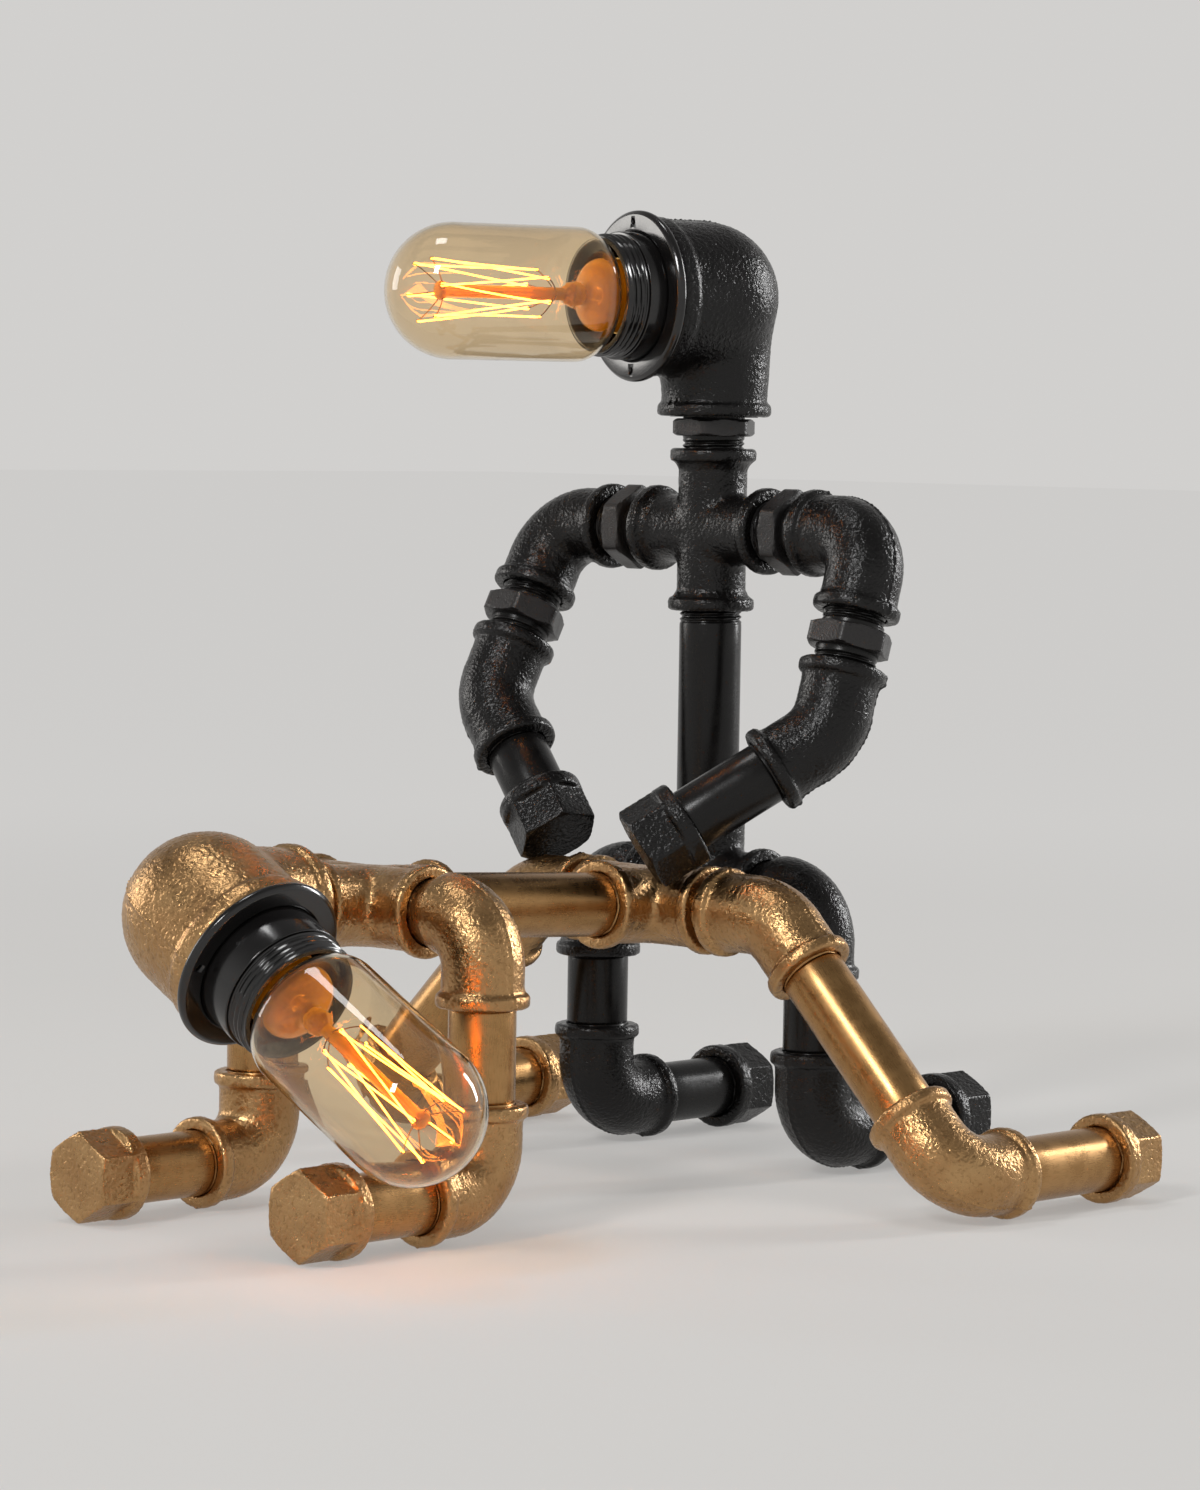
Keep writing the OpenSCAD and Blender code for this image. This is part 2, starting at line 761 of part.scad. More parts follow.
// Nipples screwed fast into the cross, on which the arms turn
module shoulder_nipple(side) {
    at_black(black_shoulder_h) rotate([-side*90, 0, 0]) translate([0, 0, elbow_a])
        hex_nipple(hex_reach, (hex_reach - hex_t)/2, hex_t);
}

module black_left_shoulder_nipple() color(BLACK) {
    shoulder_nipple(-1);
}

module black_right_shoulder_nipple() color(BLACK) {
    shoulder_nipple(1);
}

module black_neck_nipple() color(BLACK) {
    at_black(black_shoulder_h + elbow_a)
        hex_nipple(black_neck, black_neck - neck_hex_gap - neck_hex_t, neck_hex_t);
}

module shoulder_elbow(side) {
    at_upper_arm(side) outward_down(side) elbow_90();
}

module black_left_shoulder_elbow() color(BLACK) {
    shoulder_elbow(-1);
}

module black_right_shoulder_elbow() color(BLACK) {
    shoulder_elbow(1);
}

module arm_nipple(side) {
    at_upper_arm(side) translate([0, 0, -elbow_a - hex_reach])
        hex_nipple(hex_reach, (hex_reach - hex_t)/2, hex_t);
}

module black_left_arm_nipple() color(BLACK) {
    arm_nipple(-1);
}

module black_right_arm_nipple() color(BLACK) {
    arm_nipple(1);
}

module black_left_bend() color(BLACK) {
    at_bend(-1) elbow_45();
}

module black_right_bend() color(BLACK) {
    at_bend(1) elbow_45();
}

module forearm_nipple(side) {
    at_forearm(side) rotate([180, 0, 0]) nipple(forearm_open(side));
}

module black_left_forearm_nipple() color(BLACK) {
    forearm_nipple(-1);
}

module black_right_forearm_nipple() color(BLACK) {
    forearm_nipple(1);
}

module hand_cap(side) {
    at_forearm(side) rotate([180, 0, 0]) translate([0, 0, forearm_open(side)]) pipe_cap();
}

module black_left_hand_cap() color(BLACK) {
    hand_cap(-1);
}

module black_right_hand_cap() color(BLACK) {
    hand_cap(1);
}

module black_head_elbow() color(BLACK) {
    at_black_head() head_elbow();
}

module black_head_bush() color(BLACK) {
    at_black_head() head_bush();
}

module black_holder_ring() color(BAKELITE) {
    at_black_head() holder_ring();
}

module black_holder_body() color(BAKELITE) {
    at_black_head() holder_body();
}

module black_holder_base() color(CERAMIC) {
    at_black_head() holder_base();
}

module black_screw_shell() color(BRASS) {
    at_black_head() screw_shell();
}

module black_contact() color(BRASS) {
    at_black_head() centre_contact();
}

module black_bulb_cap() color(BRASS) {
    at_black_head() bulb_cap();
}

module black_bulb_glass() color(GLASS) {
    at_black_head() bulb_glass();
}

module black_bulb_stem() color(GLASS) {
    at_black_head() bulb_stem();
}

module black_bulb_supports() color(STEEL) {
    at_black_head() bulb_supports();
}

module black_bulb_filament() color(GLOW) {
    at_black_head() bulb_filament();
}

// ---------- gold figure ----------

module gold_cross() color(GOLD) {
    at_gold_torso() rotate([90, 0, 0]) cross();
}

module gold_torso_pipe() color(GOLD) {
    at_gold_torso() rotate([0, 90, 0]) translate([0, 0, elbow_a]) nipple(gold_torso);
}

module gold_hip_tee() color(GOLD) {
    at_gold_torso() translate([gold_hip_reach, 0, 0]) rotate([0, -90, 0])
        rotate([0, 0, 90]) tee();
}

module gold_shoulder_elbows() color(GOLD) {
    for (s = SIDES) translate([gold_x, s*street_reach, gold_shoulder_h])
        rotate([180, 0, s*90]) rotate([0, 0, 180]) street_elbow();
}

module gold_arm_nipples() color(GOLD) {
    gold_pair(gold_x, street_reach, axis_h + elbow_a) nipple(gold_arm);
}

module gold_wrist_elbows() color(GOLD) {
    gold_pair(gold_x, street_reach, axis_h) rotate([0, 0, 180]) elbow_90();
}

module gold_hand_nipples() color(GOLD) {
    gold_pair(gold_x, street_reach, axis_h) rotate([0, -90, 0])
        translate([0, 0, elbow_a]) nipple(gold_hand);
}

module gold_hand_caps() color(GOLD) {
    gold_pair(gold_x, street_reach, axis_h) rotate([0, -90, 0])
        translate([0, 0, elbow_a + gold_hand]) pipe_cap();
}

module gold_hip_nipples() color(GOLD) {
    for (s = SIDES) translate([gold_hip_x, 0, gold_hip_h]) rotate([-s*90, 0, 0])
        translate([0, 0, elbow_a]) nipple(gold_hip_gap);
}

module gold_hip_bends() color(GOLD) {
    for (s = SIDES) translate([gold_hip_x, s*gold_hip_out, gold_hip_h])
        outward_down(s) elbow_45();
}

module gold_leg_pipes() color(GOLD) {
    for (s = SIDES) at_gold_leg(s) translate([0, 0, -bend_a - gold_leg]) nipple(gold_leg);
}

module gold_ankle_elbows() color(GOLD) {
    for (s = SIDES) at_gold_ankle(s) rotate([s*bend_angle, 0, 0]) elbow_90();
}

module gold_foot_nipples() color(GOLD) {
    for (s = SIDES) at_gold_ankle(s) rotate([0, 90, 0])
        translate([0, 0, elbow_a]) nipple(gold_foot);
}

module gold_foot_caps() color(GOLD) {
    for (s = SIDES) at_gold_ankle(s) rotate([0, 90, 0])
        translate([0, 0, elbow_a + gold_foot]) pipe_cap();
}

module gold_neck_nipple() color(GOLD) {
    at_gold_torso() rotate([0, -90, 0]) translate([0, 0, elbow_a]) nipple(gold_neck);
}

module gold_head_elbow() color(GOLD) {
    at_gold_head() head_elbow();
}

module gold_head_bush() color(GOLD) {
    at_gold_head() head_bush();
}

module gold_holder_ring() color(BAKELITE) {
    at_gold_head() holder_ring();
}

module gold_holder_body() color(BAKELITE) {
    at_gold_lamp() holder_body();
}

module gold_holder_base() color(CERAMIC) {
    at_gold_lamp() holder_base();
}

module gold_screw_shell() color(BRASS) {
    at_gold_lamp() screw_shell();
}

module gold_contact() color(BRASS) {
    at_gold_lamp() centre_contact();
}

module gold_bulb_cap() color(BRASS) {
    at_gold_lamp() bulb_cap();
}

module gold_bulb_glass() color(GLASS) {
    at_gold_lamp() bulb_glass();
}

module gold_bulb_stem() color(GLASS) {
    at_gold_lamp() bulb_stem();
}

module gold_bulb_supports() color(STEEL) {
    at_gold_lamp() bulb_supports();
}

module gold_bulb_filament() color(GLOW) {
    at_gold_lamp() bulb_filament();
}

black_cross();
black_torso_pipe();
black_hip_tee();
black_hip_elbows();
black_thigh_nipples();
black_knee_elbows();
black_shin_nipples();
black_foot_caps();
black_left_shoulder_nipple();
black_right_shoulder_nipple();
black_neck_nipple();
black_left_shoulder_elbow();
black_right_shoulder_elbow();
black_left_arm_nipple();
black_right_arm_nipple();
black_left_bend();
black_right_bend();
black_left_forearm_nipple();
black_right_forearm_nipple();
black_left_hand_cap();
black_right_hand_cap();
black_head_elbow();
black_head_bush();
black_holder_ring();
black_holder_body();
black_holder_base();
black_screw_shell();
black_contact();
black_bulb_cap();
black_bulb_glass();
black_bulb_stem();
black_bulb_supports();
black_bulb_filament();
gold_cross();
gold_torso_pipe();
gold_hip_tee();
gold_shoulder_elbows();
gold_arm_nipples();
gold_wrist_elbows();
gold_hand_nipples();
gold_hand_caps();
gold_hip_nipples();
gold_hip_bends();
gold_leg_pipes();
gold_ankle_elbows();
gold_foot_nipples();
gold_foot_caps();
gold_neck_nipple();
gold_head_elbow();
gold_head_bush();
gold_holder_ring();
gold_holder_body();
gold_holder_base();
gold_screw_shell();
gold_contact();
gold_bulb_cap();
gold_bulb_glass();
gold_bulb_stem();
gold_bulb_supports();
gold_bulb_filament();
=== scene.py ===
"""Looks of the two pipe-fitting lamp figures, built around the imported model.

Lengths are in mm and in the figures' shared frame until they reach a mesh, which is in metres.
"""

import json
import math

import bmesh
import bpy
import numpy as np
from mathutils import Matrix, Vector

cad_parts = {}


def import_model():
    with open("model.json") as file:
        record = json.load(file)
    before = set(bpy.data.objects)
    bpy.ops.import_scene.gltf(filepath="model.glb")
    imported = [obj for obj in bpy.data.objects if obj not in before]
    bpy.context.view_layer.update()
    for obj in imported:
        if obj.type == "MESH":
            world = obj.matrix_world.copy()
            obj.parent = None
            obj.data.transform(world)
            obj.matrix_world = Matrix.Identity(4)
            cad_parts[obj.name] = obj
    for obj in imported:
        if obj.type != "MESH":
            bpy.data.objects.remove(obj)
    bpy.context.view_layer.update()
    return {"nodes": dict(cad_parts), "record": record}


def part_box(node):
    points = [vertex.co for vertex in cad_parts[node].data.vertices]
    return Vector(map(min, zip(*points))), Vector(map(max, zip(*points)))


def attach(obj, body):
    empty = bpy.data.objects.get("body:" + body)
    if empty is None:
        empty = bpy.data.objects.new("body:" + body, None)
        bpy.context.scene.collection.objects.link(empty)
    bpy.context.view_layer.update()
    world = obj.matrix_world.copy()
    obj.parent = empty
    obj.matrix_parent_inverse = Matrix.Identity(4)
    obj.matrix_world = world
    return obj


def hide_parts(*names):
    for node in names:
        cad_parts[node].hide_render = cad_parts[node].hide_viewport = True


MM = 0.001
MM_PER_M = 1000.0
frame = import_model()
NODES = frame["nodes"]

# ---------- the part's own numbers, as in its source ----------

PIPE_R = 10.65
BORE_R = 8.0
THREAD_LEN = 13.0
ELBOW_A = 28.0
BEND_A = 24.0
ELBOW_R = 15.5
BEND_R = 20.0
STREET_B = 36.0
STREET = ELBOW_A - THREAD_LEN + STREET_B
HEX_REACH = 17.0
HEX_T = 8.0
UPPER_ARM = ELBOW_A + HEX_REACH + BEND_A
SHOULDER_OUT = 2 * ELBOW_A + HEX_REACH
AXIS_H = 15.0
NECK = {"black": 10.5, "gold": 5.0}
THIGH_OPEN = 24.0
SHIN_OPEN = 33.0
GOLD_TORSO_OPEN = 75.0
GOLD_HAND_OPEN = 30.5
GOLD_HIP_OPEN = 3.0
GOLD_FOOT_OPEN = 45.5
HEAD_A = 31.0
HEAD_NECK_A = 40.5
HEAD_TURN = {"black": 180 - 13, "gold": 90 + 28}
DOME_X = 5.5
RING_T = 3.6
RING_R = 29.0
SKIRT_H = 18.0
SKIRT_LEN = 8.0
HOLDER_DEPTH = 24.0
GOLD_OUT = 6.0
BULB_SEAT = 16.5
BULB_R = 22.75
BULB_LEN = 114.0
CAP_R = 13.0
BULB_CAP_LEN = 26.0
BLACK_X = 100.59056813760756
BLACK_Y = 20.0
GOLD_X = -78.20517197023196
BLACK_HIP_H = 95.0
BLACK_SHOULDER_H = 217.98738284589555
BLACK_HEAD_H = 296.9873828458956
GOLD_SHOULDER_H = 100.4
GOLD_SLOPE = 3.2
GOLD_REACH = 131.0
GOLD_HIP_X = BLACK_X - 48.0
GOLD_HIP_H = GOLD_SHOULDER_H - GOLD_REACH * math.sin(math.radians(GOLD_SLOPE))
GOLD_HIP_OUT = 55.0
LEG_REACH = (GOLD_HIP_H - AXIS_H) / math.sin(math.radians(45))
GOLD_LEG = LEG_REACH - BEND_A - ELBOW_A
GOLD_ANKLE_OUT = GOLD_HIP_OUT + LEG_REACH * math.cos(math.radians(45))
GOLD_HEAD_REACH = ELBOW_A + NECK["gold"] + HEAD_NECK_A
LEAN = {-1: 17.6, 1: 28.4}
FOREARM_TURN = {-1: 48.0, 1: 109.0}
FOREARM = {-1: 30.7, 1: 19.7}
SIDES = {"left": -1, "right": 1}
BOTH = (-1, 1)
KINDS = ("black", "gold")


def t(x, y, z):
    return Matrix.Translation((x, y, z))


def r(x, y, z):
    """Rotation in degrees about X, then Y, then Z."""
    turn = Matrix.Rotation(math.radians(z), 4, "Z") @ Matrix.Rotation(math.radians(y), 4, "Y")
    return turn @ Matrix.Rotation(math.radians(x), 4, "X")


# The fittings' own frames. s is -1 on the figures' left and 1 on their right.


def at_black(h):
    return t(BLACK_X, BLACK_Y, h)


AT_HEAD = {
    "black": at_black(BLACK_HEAD_H) @ r(0, 0, HEAD_TURN["black"]),
    "gold": t(GOLD_X, 0, GOLD_SHOULDER_H) @ r(0, GOLD_SLOPE, 0) @ t(-GOLD_HEAD_REACH, 0, 0)
    @ r(HEAD_TURN["gold"], 0, 0) @ r(0, -90, 0),
}
IN_MOUTH = t(HEAD_A, 0, 0) @ r(0, 90, 0)
AT_RING = {k: m @ IN_MOUTH for k, m in AT_HEAD.items()}
AT_HOLDER = {"black": AT_RING["black"], "gold": AT_HEAD["gold"] @ t(GOLD_OUT, 0, 0) @ IN_MOUTH}
AT_BULB = {k: m @ t(0, 0, -BULB_SEAT) for k, m in AT_HOLDER.items()}
AT_TORSO = t(GOLD_X, 0, GOLD_SHOULDER_H) @ r(0, GOLD_SLOPE, 0)


def at_upper_arm(s):
    return at_black(BLACK_SHOULDER_H) @ t(0, s * SHOULDER_OUT, 0) @ r(0, LEAN[s], 0)


def at_bend(s):
    return at_upper_arm(s) @ t(0, 0, -UPPER_ARM) @ r(0, 0, s * (FOREARM_TURN[s] - 180))


def at_forearm(s):
    return at_bend(s) @ r(0, -45, 0) @ t(0, 0, -BEND_A) @ r(180, 0, 0)


def outward_down(s):
    """Turn of an elbow whose mouths face outward and down."""
    return r(0, 90, -s * 90)


def at_shoulder(s):
    return at_upper_arm(s) @ outward_down(s)


def at_black_hip(s):
    return at_black(BLACK_HIP_H) @ t(0, s * STREET, 0) @ r(180, 0, s * 90) @ r(0, 0, 180)


def at_knee(s):
    return at_black(AXIS_H) @ t(0, s * STREET, 0)


def at_gold_shoulder(s):
    return t(GOLD_X, s * STREET, GOLD_SHOULDER_H) @ r(180, 0, s * 90) @ r(0, 0, 180)


def at_wrist(s):
    return t(GOLD_X, s * STREET, AXIS_H)


def at_gold_hip(s):
    return t(GOLD_HIP_X, s * GOLD_HIP_OUT, GOLD_HIP_H)


def at_ankle(s):
    return t(GOLD_HIP_X, s * GOLD_ANKLE_OUT, AXIS_H)


# ---------- mesh helpers ----------

WELD_M = 1e-6
UV_PER_MM = 0.01
TINY = 1e-12


def mesh_object(name, co, faces, sharp=None):
    """Smooth-shaded object from points in metres and faces, with edges sharper than an angle kept sharp."""
    mesh = bpy.data.meshes.new(name)
    co = np.asarray(co, np.float32)
    if isinstance(faces, np.ndarray):
        n, k = faces.shape
        mesh.vertices.add(len(co))
        mesh.vertices.foreach_set("co", co.ravel())
        mesh.loops.add(n * k)
        mesh.loops.foreach_set("vertex_index", faces.ravel().astype(np.int32))
        mesh.polygons.add(n)
        mesh.polygons.foreach_set("loop_start", np.arange(n, dtype=np.int32) * k)
        mesh.update(calc_edges=True)
    else:
        mesh.from_pydata(co.tolist(), [], faces)
    mesh.validate()
    mesh.polygons.foreach_set("use_smooth", [True] * len(mesh.polygons))
    if sharp is not None:
        mesh.set_sharp_from_angle(angle=math.radians(sharp))
    obj = bpy.data.objects.new(name, mesh)
    bpy.context.scene.collection.objects.link(obj)
    return obj


def placed(points, matrix):
    """Points in mm through a matrix, as metres."""
    m = np.array(matrix)
    return (np.asarray(points, float) @ m[:3, :3].T + m[:3, 3]) * MM


def rows_piece(name, rows, matrix, n, sharp, closed=True, uv=True):
    """Turned piece. Each row is (radius or radii round the axis, z); closed joins the last row to the first."""
    angles = np.arange(n) * 2 * math.pi / n
    pts = []
    for rad, z in rows:
        rad = np.broadcast_to(np.asarray(rad, float), n)
        z = np.broadcast_to(np.asarray(z, float), n)
        pts.append(np.stack([rad * np.cos(angles), rad * np.sin(angles), z], 1))
    pts = np.concatenate(pts)
    m = len(rows)
    i, j = np.meshgrid(np.arange(m if closed else m - 1), np.arange(n), indexing="ij")
    i2, j2 = (i + 1) % m, (j + 1) % n
    faces = np.stack([i * n + j, i * n + j2, i2 * n + j2, i2 * n + j], -1).reshape(-1, 4)
    obj = mesh_object(name, placed(pts, matrix), faces, sharp=sharp)
    if uv and len(obj.data.polygons) == len(faces):
        layer = obj.data.uv_layers.new(name="uv")
        round_axis = np.stack([j, j + 1, j + 1, j], -1).reshape(-1, 4).astype(float) / n
        along = pts[:, 2][faces] * UV_PER_MM
        layer.data.foreach_set("uv", np.stack([round_axis, along], -1).astype(np.float32).ravel())
    return obj


def weld(obj):
    """Join points that coincide, as on a turned piece's axis, and turn the faces outward."""
    bm = bmesh.new()
    bm.from_mesh(obj.data)
    bmesh.ops.remove_doubles(bm, verts=bm.verts, dist=WELD_M)
    bmesh.ops.recalc_face_normals(bm, faces=bm.faces)
    bm.to_mesh(obj.data)
    bm.free()
    return obj


def arc(cx, cy, rad, a0, a1, steps):
    """Points of an arc in degrees."""
    return [
        (cx + rad * math.cos(math.radians(a)), cy + rad * math.sin(math.radians(a)))
        for a in np.linspace(a0, a1, steps + 1)
    ]


def rounded(profile, radius):
    """Profile of (r, z) corners with each corner but the first and last rounded."""
    out = [profile[0]]
    for a, b, c in zip(profile, profile[1:], profile[2:]):
        a, b, c = (np.array(p[:2], float) for p in (a, b, c))
        u, v = a - b, c - b
        lu, lv = np.linalg.norm(u), np.linalg.norm(v)
        if lu < 1e-9 or lv < 1e-9:
            continue
        cut = min(radius, 0.45 * lu, 0.45 * lv)
        p, q = b + u / lu * cut, b + v / lv * cut
        for k in np.linspace(0, 1, 5):
            out.append(tuple((1 - k) ** 2 * p + 2 * k * (1 - k) * b + k**2 * q))
    out.append(profile[-1])
    return out


def merged(name, objs):
    """One object out of several, keeping their material slots."""
    bpy.ops.object.select_all(action="DESELECT")
    for o in objs:
        o.select_set(True)
    bpy.context.view_layer.objects.active = objs[0]
    bpy.ops.object.join()
    objs[0].name = name
    return objs[0]


def tube(path, radius, sides):
    """Points and faces of a round tube with flat ends along a path in mm."""
    path = np.asarray(path, float)
    n = len(path)
    tan = np.gradient(path, axis=0)
    tan /= np.linalg.norm(tan, axis=1)[:, None] + TINY
    any_way = np.array([0.31, 0.57, 0.76])
    u = np.cross(tan[0], any_way)
    u /= np.linalg.norm(u)
    ang = np.arange(sides) * 2 * math.pi / sides
    rings = []
    for k in range(n):
        u = u - tan[k] * np.dot(u, tan[k])
        u /= np.linalg.norm(u) + TINY
        v = np.cross(tan[k], u)
        rings.append(path[k] + radius * (np.cos(ang)[:, None] * u + np.sin(ang)[:, None] * v))
    faces = []
    for i in range(n - 1):
        for j in range(sides):
            j2 = (j + 1) % sides
            faces.append((i * sides + j, i * sides + j2, (i + 1) * sides + j2, (i + 1) * sides + j))
    faces.append(tuple(reversed(range(sides))))
    faces.append(tuple(range((n - 1) * sides, n * sides)))
    return np.concatenate(rings), faces


def tubes_object(name, parts, matrix, sharp=60):
    """One object out of several (points, faces)."""
    co, faces, start = [], [], 0
    for c, f in parts:
        co.append(placed(c, matrix))
        faces += [tuple(v + start for v in face) for face in f]
        start += len(c)
    return mesh_object(name, np.concatenate(co), faces, sharp=sharp)


# ---------- materials ----------

CAST_BUMP_M = 0.00017
PIPE_BUMP_M = 0.00006
PLAIN_BUMP_M = 0.00003
GLASS_BUMP_M = 0.00004
AMBER_BUMP_M = 0.0001


class Nodes:
    """Short way to build a node tree."""

    def __init__(self, name):
        self.mat = bpy.data.materials.new(name)
        self.mat.use_nodes = True
        self.tree = self.mat.node_tree
        self.tree.nodes.clear()
        self.out = self.add("ShaderNodeOutputMaterial")

    def add(self, kind, **values):
        node = self.tree.nodes.new(kind)
        for k, v in values.items():
            if hasattr(node, k):
                setattr(node, k, v)
            else:
                self.put(node, k.replace("_", " "), v)
        return node

    def put(self, node, socket, v):
        target = node.inputs[socket]
        if isinstance(v, bpy.types.NodeSocket):
            self.tree.links.new(v, target)
        else:
            target.default_value = v

    def coords(self, kind="Object"):
        return self.add("ShaderNodeTexCoord").outputs[kind]

    def noise(self, scale, detail, roughness, vector=None, distortion=0.0):
        n = self.add("ShaderNodeTexNoise")
        sockets = ("Vector", "Scale", "Detail", "Roughness", "Distortion")
        for k, v in zip(sockets, (vector or self.coords(), scale, detail, roughness, distortion)):
            self.put(n, k, v)
        return n.outputs["Fac"]

    def voronoi(self, scale):
        n = self.add("ShaderNodeTexVoronoi", feature="F1")
        self.put(n, "Vector", self.coords())
        self.put(n, "Scale", scale)
        return n.outputs["Distance"]

    def scaled(self, vector, x, y, z):
        n = self.add("ShaderNodeMapping")
        self.put(n, "Vector", vector)
        self.put(n, "Scale", (x, y, z))
        return n.outputs["Vector"]

    def span(self, value, lo, hi, a, b):
        """Value from lo to hi as a to b, held there outside that range."""
        n = self.add("ShaderNodeMapRange")
        n.clamp = True
        sockets = ("Value", "From Min", "From Max", "To Min", "To Max")
        for k, v in zip(sockets, (value, lo, hi, a, b)):
            self.put(n, k, v)
        return n.outputs["Result"]

    def math(self, op, a, b):
        n = self.add("ShaderNodeMath", operation=op)
        for i, v in enumerate((a, b)):
            self.put(n, i, v)
        return n.outputs[0]

    def weighted(self, *terms):
        """Sum of (weight, value) terms; a weight of 1 is left out of the tree."""
        total = None
        for weight, value in terms:
            part = value if weight == 1 else self.math("MULTIPLY", value, weight)
            total = part if total is None else self.math("ADD", total, part)
        return total

    def mix(self, factor, a, b):
        n = self.add("ShaderNodeMix", data_type="RGBA")
        for k, v in ((0, factor), (6, a), (7, b)):  # the numbers of its colour sockets
            self.put(n, k, v)
        return n.outputs[2]

    def bump(self, height, strength, distance):
        n = self.add("ShaderNodeBump")
        self.put(n, "Height", height)
        self.put(n, "Strength", strength)
        self.put(n, "Distance", distance)
        return n.outputs["Normal"]

    def principled(self, **values):
        n = self.add("ShaderNodeBsdfPrincipled")
        for k, v in values.items():
            self.put(n, k.replace("_", " "), v)
        self.tree.links.new(n.outputs["BSDF"], self.out.inputs["Surface"])
        return n


def rgb(hexa):
    """Linear colour of an sRGB hex code."""
    v = [int(hexa[i : i + 2], 16) / 255 for i in (1, 3, 5)]
    return tuple((c / 12.92 if c <= 0.04045 else ((c + 0.055) / 1.055) ** 2.4) for c in v) + (1.0,)


def cast_material(name, base, deep, light, metallic, rough, wear, grain, size, spec=0.5):
    """Painted casting: leathery skin, small pits, patchy gloss, worn crests and painted shade in the grain's
    hollows; size is the grain's scale.
    """
    n = Nodes(name)
    leather = n.noise(size, 2.0, 0.5, distortion=0.6)
    pits = n.voronoi(1.6 * size)
    fine = n.noise(4200, 2.0, 0.6)
    patches = n.noise(70, 3.0, 0.6)
    height = n.weighted((0.9, leather), (0.2, pits), (0.05, fine))
    normal = n.bump(height, 1.0, CAST_BUMP_M * grain)
    crest = n.span(n.add("ShaderNodeNewGeometry").outputs["Pointiness"], 0.555, 0.62, 0.0, 1.0)
    worn = n.math("MULTIPLY", crest, n.span(n.noise(420, 4.0, 0.7), 0.54, 0.72, 0.0, 0.8))
    colour = n.mix(n.span(patches, 0.35, 0.7, 0.0, 1.0), base, light)
    # Painted shade: the colour turns to deep where the leather height is low, in the grain's hollows.
    colour = n.mix(n.span(leather, 0.28, 0.46, 0.45, 0.0), colour, deep)
    colour = n.mix(worn, colour, wear)
    cloudy = n.span(n.noise(160, 4.0, 0.6), 0.3, 0.7, rough - 0.07, rough + 0.09)
    n.principled(
        Base_Color=colour,
        Metallic=metallic if metallic >= 1 else n.math("MULTIPLY", worn, 0.9),
        Roughness=n.weighted((1, cloudy), (0.05, fine)),
        Specular_IOR_Level=spec,
        Normal=normal,
    )
    return n.mat


def pipe_material(name, base, deep, light, metallic, rough, streak, spec=0.5):
    """Smooth pipe: drawn along its length, with fine scuffs and a mottled film."""
    n = Nodes(name)
    uv = n.coords("UV")
    drawn = n.noise(1.0, 4.0, 0.65, n.scaled(uv, 420, 22, 1))
    round_marks = n.noise(1.0, 3.0, 0.6, n.scaled(uv, 6, 900, 1))
    mottle = n.noise(120, 4.0, 0.65)
    specks = n.noise(2600, 2.0, 0.6)
    height = n.weighted((0.4, drawn), (0.6, round_marks), (0.5, specks))
    colour = n.mix(n.span(mottle, 0.35, 0.65, 0.0, 1.0), base, light)
    colour = n.mix(n.math("MULTIPLY", n.span(drawn, 0.3, 0.5, 1.0, 0.0), streak), colour, deep)
    n.principled(
        Base_Color=colour,
        Metallic=metallic,
        Roughness=n.span(n.weighted((0.6, mottle), (0.4, drawn)), 0.35, 0.65, rough - 0.05, rough + 0.08),
        Specular_IOR_Level=spec,
        Normal=n.bump(height, 0.25, PIPE_BUMP_M),
    )
    return n.mat


def plain_material(name, base, light, metallic, rough, coat=0.0):
    """Moulded or spun surface with a faint unevenness."""
    n = Nodes(name)
    wave = n.noise(900, 3.0, 0.6)
    cloud = n.noise(90, 3.0, 0.5)
    n.principled(
        Base_Color=n.mix(n.span(cloud, 0.3, 0.7, 0.0, 1.0), base, light),
        Metallic=metallic,
        Roughness=n.span(cloud, 0.3, 0.7, rough - 0.03, rough + 0.06),
        Specular_IOR_Level=0.5,
        Normal=n.bump(wave, 0.4, PLAIN_BUMP_M),
        Coat_Weight=coat,
        Coat_Roughness=0.1,
    )
    return n.mat


def glass_material(name, tint):
    """Blown glass; shadow rays pass, so that the light inside gets out."""
    n = Nodes(name)
    streaks = n.noise(55, 2.0, 0.5)
    paler = tuple(min(1.0, c * 1.04) for c in tint[:3]) + (1.0,)
    glass = n.principled(
        Base_Color=n.mix(n.span(streaks, 0.3, 0.7, 0.0, 1.0), tint, paler),
        Roughness=0.0,
        IOR=1.47,
        Transmission_Weight=1.0,
        Normal=n.bump(streaks, 0.3, GLASS_BUMP_M),
    )
    clear = n.add("ShaderNodeBsdfTransparent")
    n.put(clear, "Color", tint)
    blend = n.add("ShaderNodeMixShader")
    n.tree.links.new(n.add("ShaderNodeLightPath").outputs["Is Shadow Ray"], blend.inputs[0])
    n.tree.links.new(glass.outputs[0], blend.inputs[1])
    n.tree.links.new(clear.outputs[0], blend.inputs[2])
    n.tree.links.new(blend.outputs[0], n.out.inputs["Surface"])
    return n.mat


